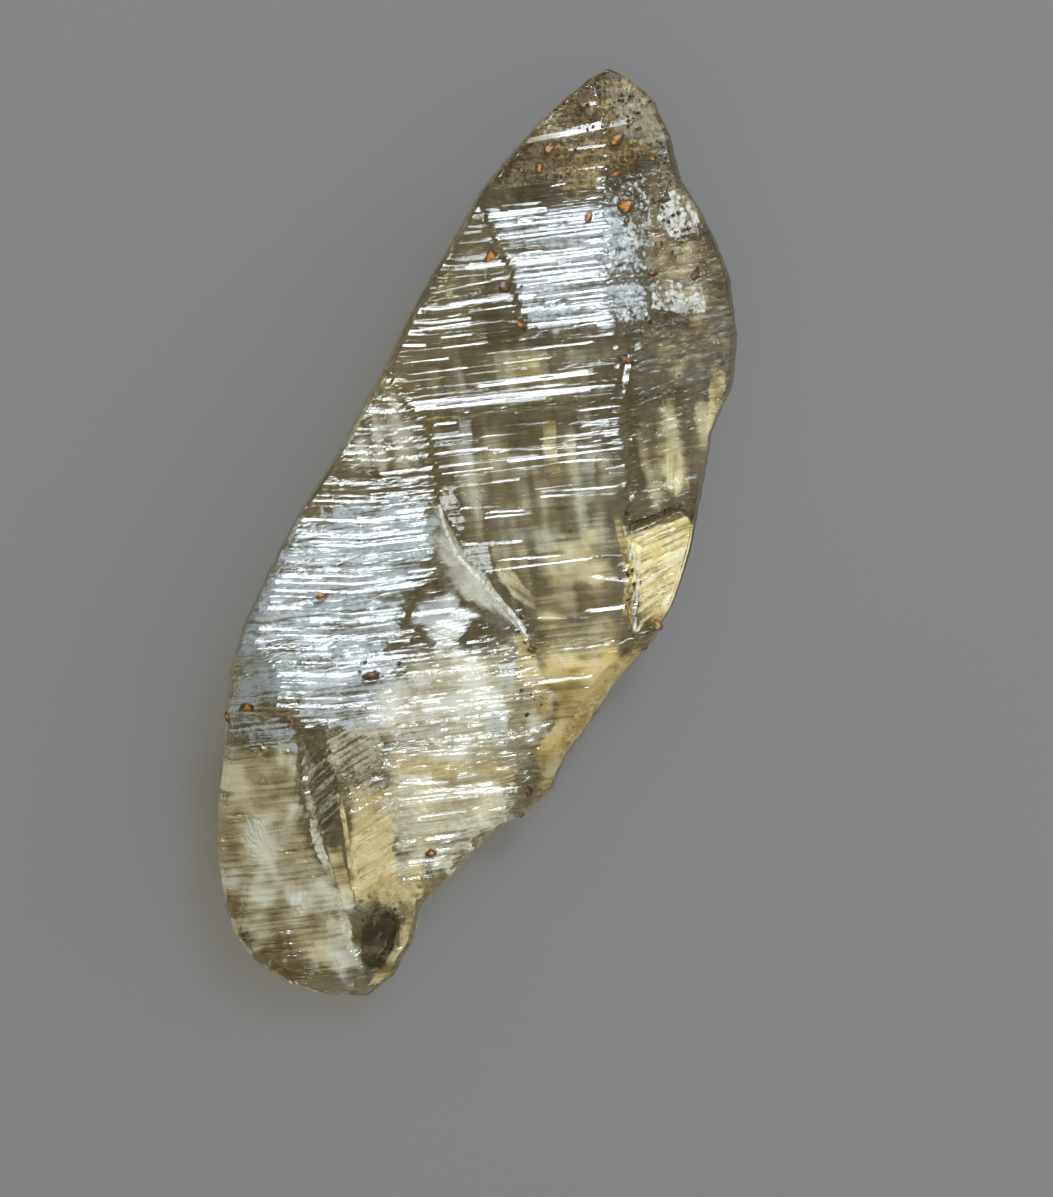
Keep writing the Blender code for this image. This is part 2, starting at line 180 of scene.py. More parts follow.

# Sealed sheets: depth under the face (mm), how much of the sheet is covered, its film, the pattern of its cover, how
# far that pattern is turned (degrees), and its outline in the growth frame (mm) or the growth zone that it fills.
# Besides milky, smoky and iron-stained veils, some sheets are painted light: the pale veils and straw panels are also
# painted glow, the white and pale sheets over glints, lit lines, seams, ridges and the window are painted highlights,
# the vertical bands are painted ghost reflections, and the dark films in the sunken eye, wedge and panel bar are
# painted shade.
SHEETS = {
    # The veils: milky, smoky and iron-stained films. The pale ones are also painted glow, lit brighter than the
    # see-through body around them as if light shone through the crystal.
    "veil_middle": (2.0, 0.5, "olive", "Bands", 0, "mid_clear"),
    "veil_streaks": (2.5, 0.35, "olive", "Bands", 0, "streaks"),
    "veil_left": (0.8, 0.76, "haze", "Lines", 0, ((-8.2, 3.0), (-2.5, 2.9), (-2.5, -1.1), (-3.5, -2.3), (-5.0, -4.3),
        (-4.6, -5.5), (-11.0, -9.2), (-16.4, -8.9), (-14.8, -2.2), (-11.0, 2.4))),
    "veil_upper": (0.7, 0.62, "haze", "Lines", 0, "patch_upper"),
    "veil_window": (0.7, 0.8, "pearl", "Glow", 0, "window"),
    "veil_lower_mid": (0.8, 1.0, "cream", "Glow", 0, "lower_mid"),
    "veil_facet": (0.9, 1.0, "straw", "Glow", 24, "facet"),
    "veil_panels": (0.9, 1.0, "straw", "Glow", 18, "right_panels"),
    "veil_gold_edge": (0.7, 1.0, "gold", "Glow", 0, "gold_edge"),
    "veil_lower_left": (1.6, 0.62, "cream", "Glow", 0, "lower_left"),
    "veil_tip": (1.0, 0.58, "amber", "Grain", 0, "tip"),
    "veil_right_upper": (0.7, 0.38, "amber", "Glow", 0, "right_upper"),
    "veil_granular": (0.4, 0.42, "pearl", "Dots", 0, "granular"),
    "veil_right_middle": (0.8, 0.5, "khaki", "Bands", 0, "right_middle"),
    # Vertical bands of pearl, smoke and gold: painted ghost reflections of the back faces seen through the body.
    "painted_ghost_white_left": (1.6, 0.45, "pearl", "Glow", 0, ((-0.5, 7.6), (0.4, 7.5), (0.1, 2.3), (-1.2, 2.4))),
    "painted_ghost_smoke": (1.5, 0.4, "smoke", "Glow", 0, ((1.2, 7.4), (2.6, 7.3), (2.1, 2.0), (0.8, 2.3))),
    "painted_ghost_gold": (2.0, 0.5, "gold", "Glow", 0, ((4.2, 7.2), (5.2, 7.1), (5.0, 1.3), (3.8, 1.2))),
    "painted_ghost_white": (1.8, 0.65, "pearl", "Glow", 0, ((5.5, 4.6), (7.4, 4.3), (7.0, 0.9), (5.5, 1.2))),
    "band_streaks": (2.2, 0.5, "gold", "Glow", 0, ((2.4, 10.2), (5.1, 10.2), (5.0, 8.5), (2.5, 8.6))),
    "lens_upper": (0.3, 0.5, "white", "Lines", 0, ((-2.2, 3.1), (-1.3, 2.9), (-0.7, 1.4), (-0.7, -0.1), (-1.6, 0.6),
        (-2.2, 2.0))),
    "lens_white": (0.3, 0.65, "white", "Lines", 0, ((-1.3, 0.0), (0.4, -0.4), (0.5, -2.5), (-0.2, -2.4),
        (-1.0, -1.2))),
    "lens_gold": (0.35, 0.6, "khaki", "Glow", -40, ((0.4, -0.2), (1.2, -1.5), (2.2, -3.1), (3.0, -4.4), (2.5, -5.2),
        (1.5, -4.0), (0.4, -2.3))),
    "ribbon": (0.3, 1.0, "mist", "Glow", -52, ((-2.5, 2.0), (-2.1, 1.8), (-1.2, -0.6), (0.3, -2.9), (2.2, -6.2),
        (0.8, -5.2), (-2.0, -2.6), (-2.5, -1.0))),
    # A white film over the window's lit facets: painted highlight.
    "window_painted_highlight": (0.35, 0.75, "white", "Lines", 0, ((-3.6, -4.9), (-1.7, -3.8), (-0.5, -4.6), (-1.8, -5.7),
        (-2.1, -6.1), (-3.2, -6.3), (-3.7, -5.6))),
    "gold_wash": (1.6, 0.6, "khaki", "Glow", 0, ((4.5, 0.4), (7.0, 0.5), (8.2, -2.3), (8.0, -6.5), (5.7, -8.1),
        (2.5, -8.1), (2.0, -4.2), (3.1, -1.7))),
    "amber_ridge": (0.4, 0.65, "gold", "Glow", 0, ((7.7, 0.8), (8.5, 0.6), (8.8, -2.6), (8.3, -6.8), (7.4, -6.4),
        (8.0, -3.5))),
    # The straw panels: iron-stained films set near the surface, whose brightness is also painted glow of light through
    # the panels.
    "panel_top": (0.28, 1.0, "straw", "Lines", 16, ((8.5, -0.9), (11.9, -0.2), (12.5, -0.8), (12.2, -2.1),
        (8.9, -2.8))),
    "panel_low": (0.28, 0.95, "straw", "Lines", 26, ((8.8, -3.0), (12.0, -2.4), (11.4, -3.9), (9.4, -5.9),
        (8.2, -6.7))),
    "panel_white": (0.6, 0.6, "straw", "Glow", 80, ((11.1, 4.0), (12.4, 3.8), (12.6, 1.2), (11.4, 0.7), (10.6, 1.4))),
    # A dark film in the sunken panel bar: painted shade.
    "panel_bar_painted_shade": (0.25, 1.0, "umber", "Lines", 14, ((8.4, -0.3), (11.7, 0.5), (11.9, -0.3), (8.6, -1.1))),
    "wedge_veil": (0.7, 0.6, "cream", "Lines", 24, ((-10.6, -9.2), (-7.6, -8.6), (-6.9, -12.6), (-8.8, -14.2),
        (-10.2, -12.2))),
    "tip_veil": (0.4, 0.8, "olive", "Grain", 0, ((10.8, 27.0), (10.9, 21.8), (13.9, 21.2), (14.6, 23.0),
        (13.2, 26.4))),
    "milk_left": (0.5, 0.65, "pearl", "Lines", 0, ((-11.2, -5.3), (-5.3, -6.1), (-5.8, -10.0), (-8.4, -10.6),
        (-11.8, -9.4))),
    "corner_ridge": (0.15, 0.75, "cream", "Blotch", 0, ((-12.2, -12.0), (-11.8, -12.0), (-11.4, -15.8),
        (-10.8, -18.8), (-10.2, -21.8), (-10.1, -24.6), (-10.5, -24.6), (-10.8, -22.0), (-11.3, -18.8),
        (-11.9, -15.8))),
    # White films along the ribbon's edges: painted highlights.
    "seam_ribbon_top_painted_highlight": (0.1, 1.0, "white", "Lines", 60, ((-2.3, 2.3), (-2.1, 2.3), (-1.9, 0.6), (-1.4, -1.0),
        (-1.6, -1.1), (-2.1, 0.6))),
    "seam_ribbon_low_painted_highlight": (0.1, 0.9, "white", "Lines", 60, ((-1.4, -1.2), (-1.2, -1.2), (1.4, -4.6), (2.3, -6.4),
        (2.1, -6.4), (1.1, -4.7))),
    "rim_right": (0.5, 0.5, "gold", "Glow", 0, ((14.6, 9.4), (15.6, 8.8), (15.4, 6.2), (14.3, 3.9), (13.4, 3.2),
        (13.9, 6.0))),
    "rim_low": (0.4, 0.8, "gold", "Dots", 0, ((8.4, -7.0), (9.0, -6.9), (5.9, -10.6), (3.2, -13.4), (2.4, -14.2),
        (2.9, -12.2), (5.0, -9.8))),
    "corner_gold": (0.9, 0.55, "khaki", "Glow", 0, ((4.6, -6.2), (7.8, -4.6), (8.2, -6.8), (6.0, -9.6), (3.6, -11.4),
        (3.4, -8.6))),
    "seam_gold": (0.5, 0.75, "gold", "Glow", 0, ((0.9, -5.6), (1.9, -5.0), (2.4, -7.3), (3.2, -10.1), (2.4, -12.4),
        (1.7, -9.9), (1.0, -7.9))),
    "tab_one": (0.25, 0.75, "white", "Lines", 0, ((0.1, -7.4), (1.1, -7.4), (0.9, -9.0), (-0.1, -8.9))),
    "tab_two": (0.25, 0.75, "white", "Lines", 0, ((-0.8, -9.9), (0.5, -9.9), (0.2, -11.6), (-1.3, -11.4))),
    "milk": (0.5, 0.5, "white", "Lines", 0, ((-6.5, -7.2), (0.1, -7.4), (0.4, -9.9), (-1.3, -11.4), (0.4, -12.8),
        (-6.9, -11.5), (-7.3, -9.4))),
    "band_low": (0.4, 0.65, "gold", "Lines", 0, ((-7.4, -11.8), (0.6, -13.5), (1.1, -15.1), (-1.1, -14.2),
        (-7.4, -12.9))),
    "cream": (0.5, 0.75, "cream", "Lines", 0, ((-6.7, -13.1), (0.4, -14.6), (0.5, -16.2), (-2.5, -18.1),
        (-4.1, -18.9), (-6.7, -18.8), (-7.6, -16.6), (-7.9, -14.4))),
    "facet_dark": (0.6, 0.4, "smoke", "Lines", 24, ((-10.0, -12.6), (-7.6, -10.8), (-7.0, -11.8), (-7.3, -13.9),
        (-9.8, -15.3), (-9.8, -13.7))),
    "facet_light": (0.3, 0.85, "straw", "Lines", 24, ((-9.8, -17.0), (-7.3, -14.6), (-7.0, -16.7), (-7.5, -18.4),
        (-9.5, -20.2), (-9.9, -18.7))),
    # A dark film in the sunken wedge: painted shade.
    "wedge_painted_shade": (0.6, 0.72, "smoke", "Lines", 34, ((-11.8, -10.4), (-11.2, -11.5), (-10.2, -12.3), (-10.1, -13.7),
        (-11.2, -16.2), (-11.7, -14.0))),
    # A pale film along the lower-left ridge: painted highlight of its glossy edge.
    "crest_painted_highlight": (0.12, 0.9, "straw", "Blotch", 0, ((-10.1, -13.6), (-9.8, -13.8), (-9.7, -15.2), (-9.7, -17.3),
        (-9.4, -19.3), (-9.7, -20.8), (-10.0, -19.3), (-10.0, -16.3))),
    "wedge_low": (0.5, 0.7, "straw", "Glow", 0, ((-11.2, -16.5), (-10.2, -16.3), (-10.0, -18.5), (-9.8, -20.5),
        (-10.6, -19.8), (-11.1, -18.1))),
    "gold_low": (0.5, 0.75, "straw", "Blotch", 0, ((-10.1, -20.1), (-7.8, -18.5), (-5.7, -18.2), (-5.0, -19.6),
        (-6.2, -21.0), (-7.3, -21.6), (-9.0, -20.8))),
    "rim_base": (0.35, 0.75, "gold", "Glow", 0, ((-7.5, -21.6), (-6.2, -21.0), (-6.7, -22.9), (-8.6, -25.0),
        (-10.1, -25.7), (-9.1, -24.4), (-8.0, -23.3))),
    "frost_base": (0.5, 0.5, "cream", "Glow", 0, ((-11.6, -20.2), (-10.3, -20.6), (-10.0, -23.0), (-9.8, -24.6),
        (-11.2, -24.4), (-12.2, -22.6))),
    "corner_beige": (1.2, 0.5, "khaki", "Glow", 0, ((-16.4, -10.3), (-12.0, -10.7), (-11.9, -14.1), (-13.2, -15.1),
        (-17.1, -14.3))),
    # A cream film where a streaky glint shows: painted highlight.
    "corner_glint": (0.3, 0.5, "cream", "Glow", 80, ((-13.6, -17.4), (-12.6, -17.5), (-12.3, -19.6), (-13.6, -20.2),
        (-14.2, -19.2))),
    "corner_edge": (0.3, 0.7, "white", "Lines", 0, ((-11.9, -14.8), (-11.3, -16.2), (-11.1, -17.7), (-11.5, -17.9),
        (-11.9, -16.5))),
    "corner_khaki": (0.9, 0.5, "khaki", "Glow", 0, ((-14.0, -20.7), (-11.9, -20.6), (-11.2, -22.5), (-12.1, -23.8),
        (-14.2, -23.0))),
    "left_haze": (0.4, 0.5, "haze", "Lines", 0, ((-15.9, -8.6), (-12.0, -8.9), (-12.0, -11.2), (-13.6, -10.6),
        (-16.4, -10.8))),
    "veil_left_top": (1.0, 0.45, "olive", "Bands", 0, "left_top"),
    # A white film over the lit growth line across the tip: painted highlight.
    "tip_line_painted_highlight": (0.1, 0.95, "white", "Lines", 0, ((4.9, 22.15), (11.8, 22.7), (11.8, 23.05), (4.9, 22.5))),
    # White films along the ridge beside the panels: painted highlights.
    "seam_panel_top_painted_highlight": (0.1, 0.9, "white", "Lines", 60, ((8.2, -0.4), (8.36, -0.4), (8.95, -2.95), (8.78, -2.95))),
    "seam_panel_low_painted_highlight": (0.1, 0.85, "white", "Lines", 60, ((8.78, -2.9), (8.95, -2.9), (8.2, -7.0), (8.02, -7.0))),
    # A white film for the glints in the eye: painted highlight.
    "eye_glint": (0.1, 0.6, "white", "Lines", 60, ((-9.1, -22.4), (-8.5, -22.2), (-8.2, -22.7), (-8.5, -23.4),
        (-9.0, -23.3))),
    "facet_lines": (0.18, 0.34, "smoke", "Lines", 22, "facet"),
    # A dark film under the sunken eye: painted shade.
    "eye_painted_shade": (0.45, 0.75, "umber", "Glow", 50, ((-8.0, -21.2), (-7.6, -22.0), (-8.0, -23.2), (-8.8, -24.0),
        (-9.5, -24.1), (-9.8, -23.3), (-9.5, -22.2), (-8.8, -21.4))),
    # White and cream streaks on faces that mirror no lamp: painted glints.
    "facet_glints": (0.12, 0.2, "white", "Lines", 22, "facet"),
    "wedge_glints": (0.12, 0.34, "cream", "Lines", 34, "wedge"),
    "panel_stripes": (0.15, 0.36, "white", "Lines", 20, ((8.9, -2.6), (12.2, -1.6), (11.8, -3.4), (9.6, -5.6),
        (8.5, -6.3))),
    "tip_gold": (1.2, 0.45, "gold", "Grain", 0, ((6.1, 21.2), (9.6, 21.4), (9.8, 18.8), (6.9, 18.8))),
    # White frosted pits on the right shoulder, whitened further as painted glints.
    "shoulder_frost_and_glints": (0.2, 0.72, "white", "Dots", 0, ((12.5, 18.3), (13.7, 18.8), (15.2, 17.8), (14.8, 15.9),
        (13.2, 15.9), (12.3, 16.9))),
    "shoulder_pits_and_glints": (0.2, 0.68, "white", "Dots", 0, ((11.3, 13.6), (12.5, 13.6), (14.8, 12.9), (14.6, 11.3),
        (13.0, 11.4), (11.3, 11.9))),
}
SHEET_SEED = 61
# Half of a sheet's thickness in its middle (mm), and its innermost ring as a share of its outline.
SHEET_HALF_THICKNESS = 0.03
SHEET_MIDDLE = 0.06
# How far sheets keep from the crystal's ends and sides, and how much quartz lies over and under them (mm).
SHEET_END_MARGIN, SHEET_SIDE_MARGIN = 0.6, 0.45
LEAST_OVER_SHEET, LEAST_UNDER_SHEET = 0.10, 0.2
# Film colours, from dark through middle to pale.
FILMS = {
    "gold": ((0.28, 0.17, 0.04), (0.61, 0.46, 0.15), (0.88, 0.77, 0.44)),
    "straw": ((0.38, 0.27, 0.08), (0.84, 0.70, 0.34), (1.00, 0.95, 0.68)),
    "khaki": ((0.26, 0.19, 0.08), (0.50, 0.41, 0.20), (0.80, 0.72, 0.48)),
    "white": ((0.50, 0.48, 0.42), (0.80, 0.79, 0.77), (0.98, 0.98, 0.98)),
    "cream": ((0.48, 0.40, 0.25), (0.72, 0.64, 0.46), (0.99, 0.97, 0.88)),
    "pearl": ((0.44, 0.43, 0.40), (0.67, 0.69, 0.72), (0.92, 0.95, 0.98)),
    "haze": ((0.24, 0.24, 0.22), (0.43, 0.46, 0.49), (0.66, 0.70, 0.74)),
    "mist": ((0.37, 0.32, 0.22), (0.50, 0.46, 0.36), (0.68, 0.65, 0.56)),
    "olive": ((0.20, 0.16, 0.08), (0.42, 0.36, 0.22), (0.70, 0.65, 0.52)),
    "smoke": ((0.12, 0.09, 0.05), (0.25, 0.20, 0.13), (0.50, 0.44, 0.33)),
    "umber": ((0.05, 0.03, 0.01), (0.14, 0.09, 0.03), (0.34, 0.24, 0.10)),
    "amber": ((0.10, 0.05, 0.015), (0.42, 0.27, 0.09), (0.84, 0.70, 0.42)),
}
# Rust-coloured plates on the front: U, V, length, width (mm) and turn (degrees).
RUST_PLATES = (
    (10.7, 21.9, 1.2, 0.7, 30), (6.7, 21.8, 0.8, 0.5, 60), (6.0, 20.7, 0.8, 0.5, 80), (10.3, 19.9, 0.6, 0.4, 20),
    (10.7, 18.0, 1.1, 0.8, 10), (8.5, 17.6, 0.7, 0.5, 50), (2.5, 15.9, 1.1, 0.8, 40), (3.8, 11.8, 0.6, 0.8, 10),
    (-9.6, -2.3, 1.0, 0.5, 15), (-14.6, -8.2, 0.8, 0.5, 0), (-15.8, -8.7, 0.3, 0.8, 0), (-5.1, -18.0, 0.9, 0.5, -20),
    (9.6, -6.4, 0.5, 0.7, 40), (9.2, 21.4, 0.4, 0.3, 0), (7.6, 20.4, 0.4, 0.4, 0), (12.6, 20.6, 0.5, 0.4, 0),
)
DARK_PLATES = (
    (3.1, 14.1, 0.6, 0.8, 10), (13.1, 18.2, 0.8, 0.6, 30), (11.8, 13.9, 0.7, 0.5, 0), (9.6, 9.1, 1.2, 0.7, -20),
    (-5.6, 4.3, 0.6, 0.4, 0), (-7.3, -7.3, 0.9, 0.8, 20), (0.9, -15.0, 0.5, 0.7, 0), (8.7, -7.6, 0.5, 0.4, 0),
    (0.4, -16.4, 0.45, 0.35, 0), (5.3, -11.0, 0.35, 0.3, 0), (5.2, -0.4, 0.32, 0.28, 0), (1.8, -5.0, 0.4, 0.3, 0),
    (2.1, -6.9, 0.5, 0.4, 0), (8.6, 0.2, 0.35, 0.3, 0), (14.3, 13.6, 0.9, 0.5, 70), (12.0, 22.4, 0.4, 0.3, 0),
)
# Clouds of dark specks: middle U and V, spread along U and V (mm), and how many.
SPECK_CLOUDS = ((10.0, 24.0, 2.4, 1.4, 200), (7.5, 21.0, 3.4, 0.9, 110), (12.8, 18.0, 1.4, 3.0, 120),
                (12.4, 11.4, 1.4, 1.0, 45), (11.2, 7.0, 1.8, 2.0, 26), (3.4, 14.5, 0.8, 3.0, 22),
                (8.3, -4.2, 0.6, 1.1, 26), (1.8, -8.6, 0.8, 2.6, 20), (-6.5, -7.0, 1.2, 1.0, 14),
                (-8.6, -22.0, 1.2, 1.6, 22), (5.2, -0.4, 0.06, 0.06, 4))
SPECK_SEED = 83
SPECK_COLOURS = ((0.14, 0.06, 0.02, 1.0), (0.02, 0.013, 0.008, 1.0))
# Kinds of plate: where they are, seed, and the colours of core and rim.
PLATES = {
    "rust_plates": (RUST_PLATES, 71, ((0.55, 0.25, 0.04, 1.0), (0.09, 0.03, 0.008, 1.0))),
    "dark_plates": (DARK_PLATES, 73, ((0.20, 0.07, 0.015, 1.0), (0.03, 0.015, 0.008, 1.0))),
}
# Sides of a plate, its upper ring as a share of its lower one, its thickness and how far to each side of it the
# front's slope is taken (mm).
PLATE_SIDES = 7
PLATE_TOP_SHARE = 0.82
PLATE_THICKNESS = 0.18
SLOPE_REACH = 0.3
# The finished front, which crystal_grid fills in for the sheets and plates.
SURFACE = {}

# Where the growth lines bend onto the receding faces, as (V, U) in mm along the crystal.
RIGHT_BEND_V = (-26.0, -16.0, -11.0, -7.0, 0.0, 7.0, 12.0, 23.0)
RIGHT_BEND_U = (-8.0, -3.0, 3.0, 8.2, 8.6, 9.2, 10.9, 11.0)
LEFT_BEND_V = (-26.0, -14.0, -8.0, 0.0, 8.0, 20.0)
LEFT_BEND_U = (-12.0, -11.5, -9.0, -7.0, -4.0, 3.0)
RIGHT_BEND_SLOPE = 0.27
LEFT_BEND_SLOPE = -0.14

# The crystal's surface, in mm: how far its rows stay in from the ends, how far in its rim rounds off and how much
# further for each mm of wall, the least gap between front and back, and the height of its grains.
END_MARGIN = 0.04
RIM_REACH, RIM_GROWTH = 0.20, 0.09
LEAST_GAP = 0.02
GRAIN_HEIGHT = 0.10
# Reach of a crisp and of a soft zone edge (mm).
CRISP_EDGE, SOFT_EDGE = 0.12, 0.8
# Treads: width and length (mm), share of the brightness, and what is added to the seed.
TREADS = ((0.95, 9.0, 0.20, 3), (0.25, 7.0, 1.0, 7))
# Share of a tread that climbs, how far strip edges wander as a share of the width, and how much of the back is facets.
TREAD_CLIMB = 0.14
STRIP_UNEVENNESS = 0.66
BACK_DENSITY = 0.55
FAR_OFF = 100.0
RELIEF_SEED, CHIP_SEED, GRAIN_SEED, BACK_SEED = 21, 31, 41, 51

QUARTZ_IOR = 1.544
BODY_COLOUR = (0.77, 0.69, 0.38, 1.0)
SHADOW_COLOUR = (0.97, 0.955, 0.92, 1.0)
LAMP_COLOUR = (0.84, 0.94, 1.0)
ROOM_COLOUR = (0.98, 0.98, 1.0, 1.0)
# Soft and crisp films: the second and the fine pattern, the range from dark to middle, how far the edge fades
# inwards, and the range from bare to covered.
SOFT_PATTERNS = ("Bands", "Glow", "Grain")
SOFT_FILM = ("Lines", "Glow", (0.38, 0.53), 0.40, (1.75, 2.45))
CRISP_FILM = ("Blotch", "Grain", (0.40, 0.49), 0.16, (2.00, 2.28))

# The camera looks straight down. MM_PER_PIXEL holds at the height of the middle of its view.
CAMERA_DISTANCE = 500.0
CAMERA_CENTRE = (3.5, -2.86, 8.0)
CAMERA_ROLL = math.radians(14.5)
PICTURE_PIXELS = (1053, 1197)
MM_PER_PIXEL = 0.058
SENSOR = 36.0
# The key light stands where the bright facets mirror it to the camera: the slopes along U and V of a facet.
KEY_FACET = (0.15, 0.20)
KEY_DISTANCE = 1200.0
# Lights: the slopes of the facet that mirrors it, distance and radius (mm), and radiance.
LIGHTS = {
    "key": (KEY_FACET, KEY_DISTANCE - 20.0, 120.0, 25.0),
    "window": (KEY_FACET, KEY_DISTANCE, 250.0, 13.5),
    "low_right": ((0.61, 0.24), KEY_DISTANCE, 170.0, 11.0),
}
FLOOR_DROP = 0.05
FLOOR_RADIUS = 900.0

# ---------------------------------------------------------------- numbers over the surface

def smooth_ramp(x):
    """3x^2 - 2x^3 of x held between 0 and 1."""
    x = np.clip(x, 0.0, 1.0)
    return x * x * (3.0 - 2.0 * x)


def lattice(ix, iy, seed):
    """A repeatable number from 0 to 1 at each whole-number lattice point, by integer mixing."""
    ix, iy = np.asarray(ix).astype(np.int64), np.asarray(iy).astype(np.int64)
    h = (ix * 374761393 + iy * 668265263 + seed * 362437) & 0xFFFFFFFF
    h = ((h ^ (h >> 13)) * 1274126177) & 0xFFFFFFFF
    return ((h ^ (h >> 16)) & 0xFFFF) / 65535.0


def noise(x, y, seed):
    """Value noise: lattice numbers blended between the four points round each place with smooth ramps."""
    ix, iy = np.floor(x), np.floor(y)
    fx, fy = smooth_ramp(x - ix), smooth_ramp(y - iy)
    low, high = (lattice(ix, row, seed) * (1 - fx) + lattice(ix + 1, row, seed) * fx for row in (iy, iy + 1))
    return low * (1 - fy) + high * fy


def layered_noise(x, y, seed, layers=3):
    """Sum of noise at doubling frequencies and halving strengths, scaled back to 0 to 1."""
    total, weight, result = 0.0, 1.0, 0.0
    for layer in range(layers):
        result = result + weight * noise(x * 2 ** layer, y * 2 ** layer, seed + 17 * layer)
        total += weight
        weight *= 0.5
    return result / total


def running_mean(values, reach):
    """Mean of each row with `reach` rows on either side, by differences of a running sum, ends repeated."""
    padded = np.concatenate([np.repeat(values[:1], reach + 1, 0), values, np.repeat(values[-1:], reach, 0)])
    total = np.cumsum(padded, axis=0)
    width = 2 * reach + 1
    return (total[width:] - total[:-width]) / width


def inside_distance(u, v, outline):
    """Distance to the nearest side of a closed outline, positive inside and negative outside."""
    nearest = np.full(u.shape, np.inf)
    inside = np.zeros(u.shape, bool)
    for (u0, v0), (u1, v1) in zip(outline, outline[1:] + outline[:1]):
        du, dv = u1 - u0, v1 - v0
        along = np.clip(((u - u0) * du + (v - v0) * dv) / (du * du + dv * dv), 0.0, 1.0)
        nearest = np.minimum(nearest, np.hypot(u - u0 - along * du, v - v0 - along * dv))
        if v0 != v1:
            inside ^= ((v0 > v) != (v1 > v)) & (u < u0 + (v - v0) / (v1 - v0) * du)
    return np.where(inside, nearest, -nearest)


def growth_coordinates(x, y):
    """Row X and Y turned into U along the growth lines and V across them."""
    return x * COS_GROWTH + y * SIN_GROWTH, -x * SIN_GROWTH + y * COS_GROWTH


def row_coordinates(u, v):
    """U and V turned back into row X and Y."""
    return u * COS_GROWTH - v * SIN_GROWTH, u * SIN_GROWTH + v * COS_GROWTH


def face_height(x, y, facing, slope, point):
    """Height of a tilted plane: the point's height less the slope times the distance towards where it faces."""
    facing, rise = math.radians(facing), math.tan(math.radians(slope))
    return point[2] - rise * ((x - point[0]) * math.sin(facing) + (y - point[1]) * math.cos(facing))


def upper_height(x, y):
    """Lowest of the upper face planes."""
    return np.minimum.reduce([face_height(x, y, *face) for face in UPPER_FACES.values()])


def lower_height(x, y):
    """Highest of the lower face planes, which look down, and of the flat back at zero."""
    mirrored = [face_height(x, y, facing, slope, (point[0], point[1], -point[2]))
                for facing, slope, point in LOWER_FACES.values()]
    return np.maximum(-np.minimum.reduce(mirrored), 0.0)


# ---------------------------------------------------------------- the crystal's surface

def outline_along(rows):
    """Lowest and highest U of the solid at each V, from where its edges cross that V."""
    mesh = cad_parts[NODE].data
    points = np.zeros(len(mesh.vertices) * 3)
    mesh.vertices.foreach_get("co", points)
    points = points.reshape(-1, 3) / MM
    edges = np.zeros(len(mesh.edges) * 2, np.int64)
    mesh.edges.foreach_get("vertices", edges)
    u, v = growth_coordinates(points[:, 0], points[:, 1])
    start, end = edges.reshape(-1, 2).T
    v0, v1 = v[start][:, None], v[end][:, None]
    crosses = (v0 - rows) * (v1 - rows) <= 0
    along = np.where(v0 == v1, 0.0, (rows - v0) / np.where(v0 == v1, 1.0, v1 - v0))
    at = u[start][:, None] + along * (u[end] - u[start])[:, None]
    low = np.where(crosses, at, np.inf).min(0)
    high = np.where(crosses, at, -np.inf).max(0)
    return low, high, v.min(), v.max()


def line_coordinate(u, v):
    """V measured across the growth lines, which climb on the right face and fall on the left one."""
    right = np.maximum(u - np.interp(v, RIGHT_BEND_V, RIGHT_BEND_U), 0.0)
    left = np.minimum(u - np.interp(v, LEFT_BEND_V, LEFT_BEND_U), 0.0)
    return v - RIGHT_BEND_SLOPE * right - LEFT_BEND_SLOPE * left


def zone_fields(u, v):
    """Blend of the zones' values over the surface, with ragged zone edges, and the line coordinate."""
    ragged_u = u + 0.5 * (layered_noise(u * 0.8, v * 0.8, 3) - 0.5) + 0.25 * (noise(u * 3.1, v * 3.1, 5) - 0.5)
    ragged_v = v + 0.4 * (layered_noise(u * 0.7, v * 0.9, 4) - 0.5) + 0.25 * (noise(u * 2.9, v * 3.3, 6) - 0.5)
    fields = {name: np.full(u.shape, value) for name, value in REST_OF_FRONT.items()}
    across = line_coordinate(u, v)
    lean = np.zeros(u.shape)
    for values, outline in ZONES.values():
        depth = inside_distance(ragged_u, ragged_v, outline)
        crisp, soft = smooth_ramp(depth / CRISP_EDGE + 0.5), smooth_ramp(depth / SOFT_EDGE + 0.5)
        for name in fields:
            if name in values:
                mask = crisp if name == "step" else soft
                fields[name] = fields[name] + mask * (values[name] - fields[name])
        middle_u = sum(point[0] for point in outline) / len(outline)
        middle_v = sum(point[1] for point in outline) / len(outline)
        if "turn" in values:
            turned = v - math.tan(math.radians(values["turn"])) * (u - middle_u)
            across = across + crisp * (turned - across)
        if "lean" in values:
            lean = lean + crisp * (values["lean"][0] * (u - middle_u) + values["lean"][1] * (v - middle_v))
    return {**fields, "lean": lean, "across": across}


def growth_strips(u, across, width, length, seed):
    """Parallel strips along the growth lines: how far through its strip each place is, its width, middle and chance.

    Strip edges are even steps of the width, each moved by up to a third of it. A strip is cut along U into pieces of
    the given length, and each piece has its own repeatable chance from 0 to 1.
    """
    def edge(number):
        return (number + STRIP_UNEVENNESS * (lattice(number, 0, seed) - 0.5)) * width

    number = np.floor(across / width)
    number = number - (across < edge(number)) + (across >= edge(number + 1))
    low, high = edge(number), edge(number + 1)
    piece = np.floor(u / length + 9.0 * lattice(number, 1, seed))
    return (across - low) / (high - low), high - low, (low + high) / 2, lattice(number, piece, seed + 1)


def tread(through, width, slope):
    """Height of a tread that climbs steeply over its first seventh and then falls evenly at a slope."""
    fall = slope * width * (1.0 - TREAD_CLIMB)
    return fall * np.minimum(through / TREAD_CLIMB, (1.0 - through) / (1.0 - TREAD_CLIMB))


